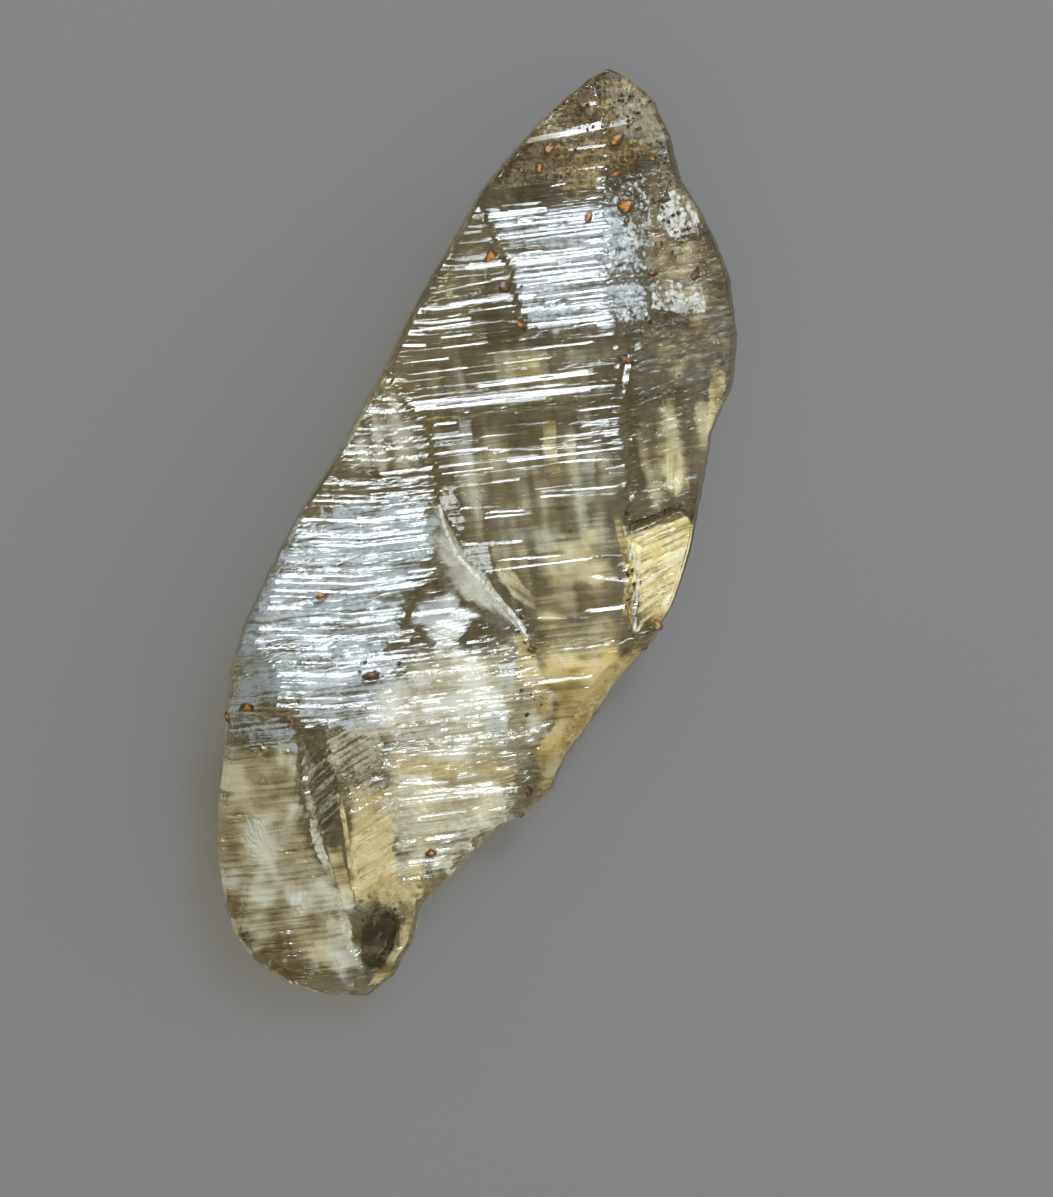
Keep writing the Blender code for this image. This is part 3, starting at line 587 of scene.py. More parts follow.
def growth_relief(u, v, across, slope, density, lean_to_tip, broken, seed):
    """Treads across the growth lines.

    The strips whose chance is less than the wanted share are lit facets: they lean to the tip by a given slope,
    whatever the crystal face does, and step back up to it. The other strips stay in the crystal face. A broad noise
    gathers the facets into groups, a finer one cuts them short where the surface is broken, and the single growth lines
    are listed. The face's own slope along V is taken off, so that a facet's slope is the same on every face.
    """
    height, facets = np.zeros(u.shape), np.zeros(u.shape)
    for width, length, weight, part in TREADS:
        through, wide, middle, chance = growth_strips(u, across, width, length, seed + part)
        broad = layered_noise(u / 9.0 + 3.0, middle / 1.5, seed + 2)
        gaps = 2.6 * broken * (noise(u / 0.7, middle / 0.45, seed + 9) - 0.5)
        lit = weight * density * (0.55 + 0.9 * broad + gaps) > chance
        height = np.where(lit, tread(through, wide, lean_to_tip + slope), height)
        facets = np.where(lit, 1.0, facets)
    ends = 0.5 * (noise(v / 0.2, 0.0, seed + 5) - 0.5)
    for u0, v0, u1, v1, thickness, lit in GROWTH_LINES:
        through = (v - v0 - (u - u0) * (v1 - v0) / (u1 - u0)) / thickness + 0.5
        near = (through > 0) & (through < 1) & (u > u0 + ends) & (u < u1 - ends)
        height = np.where(near, lit * tread(through, thickness, lean_to_tip + slope), height)
        facets = np.where(near, lit, facets)
    return height, facets


def mirror_direction(slope_u, slope_v):
    """Where a facet of those slopes mirrors a straight-down view: 2 (n.z) n - z for its unit normal n."""
    x, y = row_coordinates(slope_u, slope_v)
    normal = Vector((x, y, 1.0)).normalized()
    return 2.0 * normal.z * normal - Vector((0.0, 0.0, 1.0))


def mirror_slope_v(x, y, z):
    """Slope along V of a facet that mirrors the key light to the camera: that of the half-way vector."""
    place = np.stack([x, y, z], -1)
    to_eye = np.array([CAMERA_CENTRE[0], CAMERA_CENTRE[1], CAMERA_CENTRE[2] + CAMERA_DISTANCE]) - place
    to_key = np.array(CAMERA_CENTRE) + np.array(mirror_direction(*KEY_FACET)) * KEY_DISTANCE - place
    half = to_eye / np.linalg.norm(to_eye, axis=-1, keepdims=True)
    half = half + to_key / np.linalg.norm(to_key, axis=-1, keepdims=True)
    return growth_coordinates(half[..., 0], half[..., 1])[1] / half[..., 2]


def rounded(height, u, edge_u, middle, wall_height):
    """Pulls the height to the edge's middle height by a quarter ellipse within the rim, which grows with the wall."""
    reach = RIM_REACH + RIM_GROWTH * wall_height
    near = np.clip(1.0 - np.abs(u - edge_u) / reach, 0.0, 1.0)
    return middle + (height - middle) * np.sqrt(np.maximum(1.0 - near ** 2, 0.0))


def crystal_grid(settings):
    """Closed surface of the crystal as rows across it at even V.

    Each row runs over the front from the left edge to the right edge and back under the crystal. The front is the
    lowest of the upper face planes with the growth steps and terraces on it, the back is the highest of the lower
    ones, and both round off towards the edge by a quarter ellipse.
    """
    v_min, v_max = outline_along(np.zeros(1))[2:]
    v = np.linspace(v_min + END_MARGIN, v_max - END_MARGIN, settings.rows)
    low, high = outline_along(v)[:2]
    chips = 0.10 * (noise(v / 0.35, 0.5, CHIP_SEED) - 0.5) + 0.14 * (noise(v / 1.1, 0.5, CHIP_SEED + 1) - 0.5)
    low, high = low + np.abs(chips), high - np.abs(chips[::-1])
    front = 0.5 - 0.5 * np.cos(np.linspace(0.0, math.pi, settings.front_columns))
    front = 0.35 * front + 0.65 * np.linspace(0.0, 1.0, settings.front_columns)
    back = 0.5 - 0.5 * np.cos(np.linspace(0.0, math.pi, settings.back_columns + 2)[1:-1])
    width = (high - low)[:, None]
    u_front = low[:, None] + width * front
    u_back = high[:, None] - width * back
    v_front, v_back = (np.repeat(v[:, None], u.shape[1], 1) for u in (u_front, u_back))

    x, y = row_coordinates(u_front, v_front)
    top, under = upper_height(x, y), lower_height(x, y)
    fields = zone_fields(u_front, v_front)
    face_slope = np.gradient(running_mean(top, 4), v[1] - v[0], axis=0)
    relief, facets = growth_relief(u_front, v_front, fields["across"], face_slope, fields["bright"],
                                   mirror_slope_v(x, y, top), fields["grain"], RELIEF_SEED)
    grains = fields["grain"] * GRAIN_HEIGHT * (noise(u_front / 0.28, v_front / 0.22, GRAIN_SEED) - 0.5)
    top = top + fields["step"] + fields["lean"] + relief + grains

    # The back has treads of its own, and the listed growth lines stay off it, as it is given a far-off V.
    back_density = np.full(u_back.shape, BACK_DENSITY)
    bottom = lower_height(*row_coordinates(u_back, v_back))
    bottom = bottom + growth_relief(u_back, v_back - FAR_OFF, v_back, 0.0, back_density, settings.back_lean, 0.0,
                                    BACK_SEED)[0]

    edges = [(edge[:, None], 0.5 * (top[:, side] + under[:, side]), np.maximum(top[:, side] - under[:, side], 0.0))
             for edge, side in ((low, slice(None, 1)), (high, slice(-1, None)))]
    for edge in edges:
        top, bottom = rounded(top, u_front, *edge), rounded(bottom, u_back, *edge)
    # Where the planes cross before the outline, the front and back meet on one line.
    top = np.maximum(top, np.maximum(under, 0.0) + LEAST_GAP * (front * (1 - front) * 4))
    SURFACE.update(v=v, low=low, high=high, front=front, top=top)
    back_fields = zone_fields(u_back, v_back)
    pairs = {name: (fields[name], back_fields[name])
             for name in ("lines", "frost", "grain", "stain", "off_facet_tint", "dark", "across")}
    pairs["facets"] = facets, np.zeros(u_back.shape)
    pairs["under"] = np.zeros(u_front.shape), np.ones(u_back.shape)
    shade = {name: np.concatenate(pair, 1) for name, pair in pairs.items()}
    us, vs, heights = (np.concatenate(pair, 1) for pair in ((u_front, u_back), (v_front, v_back), (top, bottom)))
    return us, vs, heights, shade


def ring_mesh(name, us, vs, heights, shade):
    """Mesh of closed rows: quads between neighbouring rows, and a fan of triangles round a middle point at each end."""
    rows, columns = us.shape
    grid = np.stack([*row_coordinates(us, vs), heights], -1) * MM
    points = np.concatenate([grid.reshape(-1, 3), [grid[0].mean(0), grid[-1].mean(0)]])
    index = np.arange(rows * columns).reshape(rows, columns)
    after = np.roll(index, -1, 1)
    quads = np.stack([index[:-1], after[:-1], after[1:], index[1:]], -1).reshape(-1, 4)
    first, last = np.full(columns, rows * columns), np.full(columns, rows * columns + 1)
    low_fan, high_fan = np.stack([after[0], index[0], first], -1), np.stack([index[-1], after[-1], last], -1)
    mesh = bpy.data.meshes.new(name)
    mesh.from_pydata(points.tolist(), [], quads.tolist() + low_fan.tolist() + high_fan.tolist())
    for field, values in shade.items():
        flat = np.concatenate([values.reshape(-1), [values[0].mean(), values[-1].mean()]])
        mesh.attributes.new(field, "FLOAT", "POINT").data.foreach_set("value", flat.astype(np.float32))
    mesh.validate()
    mesh.update()
    return mesh


# ---------------------------------------------------------------- sealed and grown-on pieces

def front_height(u, v):
    """Height of the finished front at U, V, read from the nearest point of its grid."""
    rows = SURFACE["v"]
    row = np.clip(np.rint((v - rows[0]) / (rows[1] - rows[0])), 0, len(rows) - 1).astype(int)
    share = (u - SURFACE["low"][row]) / (SURFACE["high"][row] - SURFACE["low"][row])
    column = np.rint(np.interp(share, SURFACE["front"], np.arange(len(SURFACE["front"])))).astype(int)
    return SURFACE["top"][row, column]


def edges_at(v):
    """Lowest and highest U of the finished crystal at each V."""
    return np.interp(v, SURFACE["v"], SURFACE["low"]), np.interp(v, SURFACE["v"], SURFACE["high"])


def within_outline(u, v):
    """True where a place lies inside the crystal's outline, a little way in from its edge."""
    low, high = edges_at(v)
    return (u > low + 0.3) & (u < high - 0.3) & (v > SURFACE["v"][0] + 0.5) & (v < SURFACE["v"][-1] - 0.5)


def sheet_grid(outline, depth, seed, rings=12, around=110):
    """Thin closed sheet under the front, and how near each point is to its middle.

    Rings shrink from a ragged outline to its middle on the upper side and grow back on the lower side. The two
    sides part by a thickness that falls off as one less the square of the ring's share, and both follow the
    crystal face at a depth that wanders a little.
    """
    corners = np.array(outline + outline[:1])
    reach = np.concatenate([[0.0], np.cumsum(np.hypot(*np.diff(corners, axis=0).T))])
    along = np.linspace(0.0, reach[-1], around, endpoint=False)
    u, v = np.interp(along, reach, corners[:, 0]), np.interp(along, reach, corners[:, 1])
    middle_u, middle_v = corners[:-1].mean(0)
    ragged = 1.0 + 0.25 * (noise(along / 0.45, 0.0, seed) - 0.5) + 0.2 * (noise(along / 1.6, 0.0, seed + 1) - 0.5)
    outward = np.linspace(SHEET_MIDDLE, 1.0, rings)
    share = np.concatenate([outward, np.linspace(1.0, SHEET_MIDDLE, rings)[1:]])[:, None]
    side = np.concatenate([np.ones(rings), -np.ones(rings - 1)])[:, None]
    ends = SURFACE["v"][0] + SHEET_END_MARGIN, SURFACE["v"][-1] - SHEET_END_MARGIN
    vs = np.clip(middle_v + (v - middle_v) * ragged * share, *ends)
    low, high = edges_at(vs)
    us = np.clip(middle_u + (u - middle_u) * ragged * share, low + SHEET_SIDE_MARGIN, high - SHEET_SIDE_MARGIN)
    x, y = row_coordinates(us, vs)
    wander = 0.4 * depth * (layered_noise(us / 2.4, vs / 2.4, seed + 2) - 0.5)
    heights = np.minimum(upper_height(x, y) - depth - wander, front_height(us, vs) - LEAST_OVER_SHEET)
    heights = heights + side * SHEET_HALF_THICKNESS * (1.0 - share ** 2)
    return us, vs, np.maximum(heights, lower_height(x, y) + LEAST_UNDER_SHEET), 1.0 - share + 0 * us


def plate_points(u, v, length, width, turn, thick, seed, sink):
    """Points of many small plates at once, as an array of plates by points.

    Each plate is an upper and a lower ring of PLATE_SIDES points with a middle point each. Its outline is an oval
    with a rough radius, turned about the face's normal and laid on the front.
    """
    u, v, length, width, turn, thick = (np.asarray(a, float)[:, None] for a in (u, v, length, width, turn, thick))
    angle = np.linspace(0.0, 2 * math.pi, PLATE_SIDES, endpoint=False)[None, :]
    number, side = np.arange(len(u))[:, None], np.arange(PLATE_SIDES)[None, :]
    rough = 0.60 + 0.75 * lattice(number, side, seed)
    across, up = np.cos(angle) * rough * length / 2, np.sin(angle) * rough * width / 2
    du = across * np.cos(turn) - up * np.sin(turn)
    dv = across * np.sin(turn) + up * np.cos(turn)
    tilt_u, tilt_v = (0.5 * (lattice(number, way, seed + 1) - 0.5) for way in (1, 2))
    base = front_height(u, v) - sink * thick
    slope = (front_height(u + SLOPE_REACH, v) - front_height(u - SLOPE_REACH, v)) / (2 * SLOPE_REACH)
    rise = np.clip(slope, -0.7, 0.7) * du + tilt_u * du + tilt_v * dv
    wave = 0.25 * thick * (lattice(number, side + PLATE_SIDES, seed) - 0.5)
    upper = np.stack([u + PLATE_TOP_SHARE * du, v + PLATE_TOP_SHARE * dv, base + rise + thick / 2 + wave], -1)
    lower = np.stack([u + du, v + dv, base + rise - thick / 2], -1)
    top, bottom = np.stack([u, v, base + 0.75 * thick], -1), np.stack([u, v, base - 0.6 * thick], -1)
    return np.concatenate([upper, lower, top, bottom], 1)


def plates_mesh(name, points):
    """One joined mesh of all the plates, each closed by two fans and a band of triangles."""
    count, each, _ = points.shape
    here = np.arange(PLATE_SIDES)
    after = (here + 1) % PLATE_SIDES
    top, bottom = (np.full(PLATE_SIDES, middle) for middle in (2 * PLATE_SIDES, 2 * PLATE_SIDES + 1))
    below, below_after = here + PLATE_SIDES, after + PLATE_SIDES
    triangles = (here, after, top), (below_after, below, bottom), (below, below_after, after), (below, after, here)
    faces = np.concatenate([np.stack(corners, -1) for corners in triangles])
    offsets = (np.arange(count) * each)[:, None, None]
    places = np.stack([*row_coordinates(points[..., 0], points[..., 1]), points[..., 2]], -1).reshape(-1, 3) * MM
    mesh = bpy.data.meshes.new(name)
    mesh.from_pydata(places.tolist(), [], (faces + offsets).reshape(-1, 3).tolist())
    core = np.zeros((count, each), np.float32)
    core[:, top[0]] = 1.0
    mesh.attributes.new("inward", "FLOAT", "POINT").data.foreach_set("value", core.reshape(-1))
    mesh.validate()
    mesh.update()
    return mesh


def add_piece(scene, name, mesh, material):
    """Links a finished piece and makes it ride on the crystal's body."""
    mesh.materials.append(material)
    piece = bpy.data.objects.new(name, mesh)
    scene.collection.objects.link(piece)
    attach(piece, BODY)
    return piece


def point_outward(mesh):
    """Turns a closed mesh's faces outwards."""
    work = bmesh.new()
    work.from_mesh(mesh)
    bmesh.ops.recalc_face_normals(work, faces=work.faces[:])
    work.to_mesh(mesh)
    work.free()


# ---------------------------------------------------------------- materials

def new_material(name, values):
    """A material with one principled shader of those values: the material, its tree, the shader and the output."""
    material = bpy.data.materials.new(name)
    material.use_nodes = True
    tree = material.node_tree
    tree.nodes.clear()
    output = node(tree, "ShaderNodeOutputMaterial")
    shader = node(tree, "ShaderNodeBsdfPrincipled", inputs={"Metallic": 0.0, **values})
    tree.links.new(shader.outputs[0], output.inputs["Surface"])
    return material, tree, shader, output


def node(tree, kind, **settings):
    """A node of that kind with its properties and, by socket name or index, its input values."""
    made = tree.nodes.new(kind)
    for key, value in settings.items():
        if key == "inputs":
            for socket, amount in value.items():
                made.inputs[socket].default_value = amount
        else:
            setattr(made, key, value)
    return made


def attribute(tree, name):
    """The value of a surface attribute."""
    return node(tree, "ShaderNodeAttribute", attribute_name=name).outputs["Fac"]


def math_node(tree, operation, first, second=None):
    """A two-input math node; numbers are set and sockets are linked."""
    made = node(tree, "ShaderNodeMath", operation=operation)
    for socket, value in zip(made.inputs, (first, second)):
        if isinstance(value, (int, float)):
            socket.default_value = value
        elif value is not None:
            tree.links.new(value, socket)
    return made.outputs[0]


def product(tree, *values):
    """All the values multiplied together."""
    result = values[0]
    for value in values[1:]:
        result = math_node(tree, "MULTIPLY", result, value)
    return result


def weighted_sum(tree, *parts):
    """The sum of each value times its weight, given as pairs."""
    result = product(tree, *parts[0])
    for part in parts[1:]:
        result = math_node(tree, "ADD", result, product(tree, *part))
    return result


def mix_colour(tree, amount, first, second):
    """A colour mix; colours are tuples or sockets."""
    made = node(tree, "ShaderNodeMix", data_type="RGBA")
    for socket, value in ((made.inputs[0], amount), (made.inputs[6], first), (made.inputs[7], second)):
        if isinstance(value, (int, float, tuple)):
            socket.default_value = value
        else:
            tree.links.new(value, socket)
    return made.outputs[2]


def growth_axes(tree, turn=0.0):
    """U and V of the growth frame in mm, turned further by some degrees, from the object's own coordinates."""
    turned = node(tree, "ShaderNodeMapping", inputs={"Rotation": (0.0, 0.0, -GROWTH_TURN - math.radians(turn)),
                                                     "Scale": (1.0 / MM,) * 3})
    tree.links.new(node(tree, "ShaderNodeTexCoord").outputs["Object"], turned.inputs["Vector"])
    parts = node(tree, "ShaderNodeSeparateXYZ")
    tree.links.new(turned.outputs[0], parts.inputs[0])
    return parts.outputs["X"], parts.outputs["Y"]


def stretched_noise(tree, along, across, scale_along, scale_across, detail=2.0):
    """Noise over U and V with its own number of features per mm each way."""
    vector = node(tree, "ShaderNodeCombineXYZ")
    tree.links.new(product(tree, along, scale_along), vector.inputs[0])
    tree.links.new(product(tree, across, scale_across), vector.inputs[1])
    texture = node(tree, "ShaderNodeTexNoise", noise_dimensions="2D",
                   inputs={"Scale": 1.0, "Detail": detail, "Roughness": 0.6})
    tree.links.new(vector.outputs[0], texture.inputs["Vector"])
    return texture.outputs["Fac"]


def ramp_between(tree, value, low, high, to_low=0.0, to_high=1.0):
    """A value taken smoothly from one range to another and held at both ends."""
    made = node(tree, "ShaderNodeMapRange", interpolation_type="SMOOTHSTEP",
                inputs={"From Min": low, "From Max": high, "To Min": to_low, "To Max": to_high})
    tree.links.new(value, made.inputs["Value"])
    return made.outputs[0]


def growth_pattern():
    """The node group of growth patterns, made once.

    Lines are fine and long, Strips are the heights of narrow tilted treads, Bands run across the lines, Dots are
    scattered cells whose chance beats the distance to their middle, and Blotch, Grain and Glow are even noises of
    three sizes.
    """
    tree = bpy.data.node_groups.get("growth pattern")
    if tree:
        return tree
    tree = bpy.data.node_groups.new("growth pattern", "ShaderNodeTree")
    for name in ("Along", "Across"):
        tree.interface.new_socket(name, in_out="INPUT", socket_type="NodeSocketFloat")
    for name in ("Lines", "Strips", "Blotch", "Bands", "Grain", "Dots", "Glow"):
        tree.interface.new_socket(name, in_out="OUTPUT", socket_type="NodeSocketFloat")
    given, result = node(tree, "NodeGroupInput"), node(tree, "NodeGroupOutput")
    along, across = given.outputs["Along"], given.outputs["Across"]
    links = tree.links
    links.new(stretched_noise(tree, along, across, 0.14, 4.5), result.inputs["Lines"])
    links.new(stretched_noise(tree, along, across, 0.9, 0.14, 1.0), result.inputs["Bands"])
    strips = 0.0
    for per_mm, pieces_per_mm, weight in ((6.5, 0.20, 1.0), (2.9, 0.12, 0.5)):
        place = product(tree, across, per_mm)
        number, through = math_node(tree, "FLOOR", place), math_node(tree, "FRACT", place)
        shift = node(tree, "ShaderNodeTexWhiteNoise", noise_dimensions="1D")
        links.new(number, shift.inputs["W"])
        piece = weighted_sum(tree, (along, pieces_per_mm), (shift.outputs["Value"], 9.0))
        corner = node(tree, "ShaderNodeCombineXYZ")
        links.new(math_node(tree, "FLOOR", piece), corner.inputs[0])
        links.new(number, corner.inputs[1])
        chance = node(tree, "ShaderNodeTexWhiteNoise", noise_dimensions="2D")
        links.new(corner.outputs[0], chance.inputs["Vector"])
        lean = product(tree, math_node(tree, "SUBTRACT", chance.outputs["Value"], 0.5), weight)
        tilted = product(tree, math_node(tree, "SUBTRACT", through, 0.5), lean)
        strips = math_node(tree, "ADD", math_node(tree, "DIVIDE", tilted, per_mm), strips)
    links.new(strips, result.inputs["Strips"])

    place = node(tree, "ShaderNodeTexCoord").outputs["Object"]
    dots = node(tree, "ShaderNodeTexVoronoi", inputs={"Scale": 3300.0})
    links.new(place, dots.inputs["Vector"])
    chance = node(tree, "ShaderNodeSeparateColor")
    links.new(dots.outputs["Color"], chance.inputs[0])
    dotted = math_node(tree, "SUBTRACT", chance.outputs[0], dots.outputs["Distance"])
    links.new(math_node(tree, "ADD", product(tree, dotted, 0.4), 0.48), result.inputs["Dots"])
    for name, scale, detail in (("Blotch", 700.0, 3.0), ("Grain", 4200.0, 2.0), ("Glow", 380.0, 2.5)):
        texture = node(tree, "ShaderNodeTexNoise", inputs={"Scale": scale, "Detail": detail, "Roughness": 0.6})
        links.new(place, texture.inputs["Vector"])
        links.new(texture.outputs["Fac"], result.inputs[name])
    return tree


def pattern_node(tree, along, across):
    """The growth pattern group placed in a tree and fed with its coordinates."""
    made = node(tree, "ShaderNodeGroup", node_tree=growth_pattern())
    tree.links.new(along, made.inputs["Along"])
    tree.links.new(across, made.inputs["Across"])
    return made.outputs


def bump(tree, height, strength, distance, normal=None):
    """A bump of a height, on top of an earlier normal if there is one."""
    made = node(tree, "ShaderNodeBump", inputs={"Strength": strength, "Distance": distance})
    tree.links.new(height, made.inputs["Height"])
    if normal:
        tree.links.new(normal, made.inputs["Normal"])
    return made.outputs[0]


def quartz_material(props):
    """See-through quartz: warm absorption inside, growth lines, frosted, granular and iron-stained patches, darker
    brown lines off the lit facets, and a dark tint that is soot on the tip and painted shade in the sunken hollows.
    """
    material, tree, shader, output = new_material("quartz", {"IOR": QUARTZ_IOR, "Transmission Weight": 1.0,
                                                             "Roughness": 0.03})
    links = tree.links
    pattern = pattern_node(tree, growth_axes(tree)[0], attribute(tree, "across"))
    blotch, lines, bands, grain = (pattern[name] for name in ("Blotch", "Lines", "Bands", "Grain"))

    stained = product(tree, attribute(tree, "stain"), ramp_between(tree, blotch, 0.40, 0.62))
    under = attribute(tree, "under")
    smoke = weighted_sum(tree, (bands, 0.55), (blotch, 0.45))
    smoky = product(tree, under, ramp_between(tree, smoke, 0.44, 0.60))
    warm = weighted_sum(tree, (bands, -0.5), (blotch, 1.0))
    warmed = product(tree, under, ramp_between(tree, warm, 0.26, 0.40, 0.0, 0.8))
    off_facets = math_node(tree, "SUBTRACT", 1.0, attribute(tree, "facets"))
    # Darker brown in fine lines, kept off the lit facets.
    off_facet_tinted = product(tree, attribute(tree, "off_facet_tint"), off_facets, ramp_between(tree, lines, 0.48, 0.64))
    # The dark tint: soot on the tip and the dark spots, and painted shade in the sunken eye, wedge and panel bar.
    soot = product(tree, attribute(tree, "dark"), ramp_between(tree, blotch, 0.30, 0.52, 0.4, 1.3))
    sooty_and_shaded = math_node(tree, "MINIMUM", soot, 1.0)
    colour = tuple(props.clear_colour)
    for amount, shade in ((stained, props.gold_colour), (smoky, props.smoke_colour), (warmed, props.warm_colour),
                          (off_facet_tinted, props.off_facet_tint_colour), (sooty_and_shaded, props.soot_and_shade_colour)):
        colour = mix_colour(tree, amount, colour, tuple(shade))
    links.new(colour, shader.inputs["Base Color"])

    rough = product(tree, attribute(tree, "frost"), ramp_between(tree, grain, 0.35, 0.65, 0.4, 1.1))
    links.new(math_node(tree, "ADD", rough, 0.02), shader.inputs["Roughness"])
    normal = None
    for height, field, distance in ((pattern["Strips"], "lines", 0.00030), (lines, "lines", 0.000012),
                                    (grain, "grain", 0.00005)):
        normal = bump(tree, product(tree, height, attribute(tree, field)), 1.0, distance, normal)
    links.new(normal, shader.inputs["Normal"])

    # Light goes straight through to what is under the crystal, as a shadow ray isn't bent.
    shadow = node(tree, "ShaderNodeBsdfTransparent", inputs={"Color": SHADOW_COLOUR})
    mix = node(tree, "ShaderNodeMixShader")
    for number, value in enumerate((node(tree, "ShaderNodeLightPath").outputs["Is Shadow Ray"], shader.outputs[0],
                                    shadow.outputs[0])):
        links.new(value, mix.inputs[number])
    links.new(mix.outputs[0], output.inputs["Surface"])
    absorb = node(tree, "ShaderNodeVolumeAbsorption", inputs={"Color": BODY_COLOUR, "Density": props.body_density})
    links.new(absorb.outputs[0], output.inputs["Volume"])
    return material


def film_material(name, film, main, cover, turn):
    """A thin film on a sealed sheet: a pattern takes it between three colours and breaks it up by its alpha.

    The pattern is mixed with a second one for the colours, and with a fine one for the pale specks and the alpha, which
    also grows from the sheet's edge inwards. Bands, glow and grain make a soft film, the others a crisp one. Some films
    are painted light as well as colour: glow on the pale veils, highlights on the white sheets, ghost reflections on
    the bands and shade in the sunken hollows.
    """
    dark, middle, pale = (shade + (1.0,) for shade in FILMS[film])
    second, fine, (low, high), edge, (bare, full) = SOFT_FILM if main in SOFT_PATTERNS else CRISP_FILM
    material, tree, shader, _output = new_material(name, {"Roughness": 0.5})
    pattern = pattern_node(tree, *growth_axes(tree, turn))
    mixed = weighted_sum(tree, (pattern[main], 0.65), (pattern[second], 0.35))
    colour = mix_colour(tree, ramp_between(tree, mixed, low, high), dark, middle)
    speckled = weighted_sum(tree, (pattern[fine], 0.4), (mixed, 0.6))
    colour = mix_colour(tree, ramp_between(tree, speckled, 0.48, 0.60), colour, pale)
    tree.links.new(colour, shader.inputs["Base Color"])
    kept = weighted_sum(tree, (mixed, 1.8), (pattern[fine], 0.6))
    kept = math_node(tree, "ADD", kept, ramp_between(tree, attribute(tree, "inward"), 0.0, edge, 0.0, 0.6))
    kept = ramp_between(tree, kept, bare - 0.60 * cover, full - 0.60 * cover, 0.0, 0.20 + 0.6 * cover)
    tree.links.new(kept, shader.inputs["Alpha"])
    return material


def plate_material(name, core, rim):
    """Rough iron oxide with a slight gloss, glowing at its core and darker at its rim."""
    material, tree, shader, _output = new_material(name, {"Roughness": 0.3})
    grain = pattern_node(tree, *growth_axes(tree))["Grain"]
    mottled = weighted_sum(tree, (grain, 1.0), (attribute(tree, "inward"), 0.35))
    colour = mix_colour(tree, ramp_between(tree, mottled, 0.50, 0.78), rim, core)
    tree.links.new(colour, shader.inputs["Base Color"])
    tree.links.new(bump(tree, grain, 0.7, 0.00008), shader.inputs["Normal"])
    return material


def floor_material(props):
    """Plain pale matt floor with a very faint grain."""
    material, tree, shader, _output = new_material("floor", {"Roughness": 0.9})
    grain = node(tree, "ShaderNodeTexNoise", inputs={"Scale": 90.0, "Detail": 3.0})
    shade = tuple(props.floor_colour)
    darker = tuple(0.97 * c for c in shade[:3]) + (1.0,)
    tree.links.new(mix_colour(tree, grain.outputs["Fac"], shade, darker), shader.inputs["Base Color"])
    return material


# ---------------------------------------------------------------- settings, operators, panel

def number_setting(name, description, default, **more):
    """A plain number setting, whole if its default is."""
    kind = bpy.props.IntProperty if isinstance(default, int) else bpy.props.FloatProperty
    return kind(name=name, description=description, default=default, **more)


def colour_setting(name, description, *shade):
    """A colour setting, given without its alpha, which is full."""
    return bpy.props.FloatVectorProperty(name=name, description=description, size=4, subtype="COLOR",
                                         default=shade + (1.0,))


class CrystalSettings(bpy.types.PropertyGroup):
    """Shape of the crystal's fine surface"""
    rows: number_setting("Rows", "Rows of the surface along the crystal", 960, min=50)
    front_columns: number_setting("Front columns", "Columns over the front", 70, min=20)
    back_columns: number_setting("Back columns", "Columns under the back", 32, min=10)
    back_lean: number_setting("Back facet lean", "Slope of the facets under the back", 0.25)


class FinishSettings(bpy.types.PropertyGroup):
    """Colours and clearness of the crystal"""
    clear_colour: colour_setting("Clear", "Colour of clean quartz", 0.97, 0.96, 0.94)
    gold_colour: colour_setting("Gold", "Colour of the iron film", 0.82, 0.58, 0.16)
    smoke_colour: colour_setting("Smoke", "Colour of the smoky bands", 0.36, 0.30, 0.17)
    warm_colour: colour_setting("Warm", "Colour of the yellow bands", 0.90, 0.73, 0.34)
    # Dark tint colour: soot on the tip and the dark spots, painted shade in the sunken hollows.
    soot_and_shade_colour: colour_setting("Soot", "Colour of the sooty hollows", 0.06, 0.045, 0.025)
    # Colour of the darker brown lines off the lit facets.
    off_facet_tint_colour: colour_setting("Grime", "Colour of dirt in the grooves", 0.36, 0.28, 0.13)
    body_density: number_setting("Body density", "Absorption per metre", 85.0)


class StageSettings(bpy.types.PropertyGroup):
    """Floor, lights and room"""
    floor_colour: colour_setting("Floor", "Colour of the floor", 0.240, 0.222, 0.210)
    light: number_setting("Light", "Strength of all the lamps", 1.0)
    fill: number_setting("Fill", "Brightness of the room", 0.31)


class QUARTZ_OT_add_crystal(bpy.types.Operator):
    """Adds the crystal's fine surface in place of the plain solid"""
    bl_idname = "quartz.add_crystal"
    bl_label = "Add crystal"

    def execute(self, context):
        settings = context.scene.quartz_crystal
        mesh = ring_mesh("crystal", *crystal_grid(settings))
        crystal = add_piece(context.scene, "crystal", mesh, quartz_material(context.scene.quartz_finish))
        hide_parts(NODE)
        return {"FINISHED"}


class QUARTZ_OT_add_sheets(bpy.types.Operator):
    """Adds the sheets sealed in the crystal: gold-stained and white healed veils, partly painted glow, and the painted
    highlights, painted ghost reflections and painted shade among them
    """
    bl_idname = "quartz.add_sheets"
    bl_label = "Add sealed sheets"

    def execute(self, context):
        for number, (name, (depth, cover, film, main, turn, outline)) in enumerate(SHEETS.items()):
            if isinstance(outline, str):
                outline = ZONES[outline][1]
            *places, inward = sheet_grid(outline, depth, SHEET_SEED + 5 * number)
            mesh = ring_mesh(name, *places, {"inward": inward})
            point_outward(mesh)
            sheet = add_piece(context.scene, name, mesh, film_material(name, film, main, cover, turn))
            sheet.visible_shadow = False
        return {"FINISHED"}


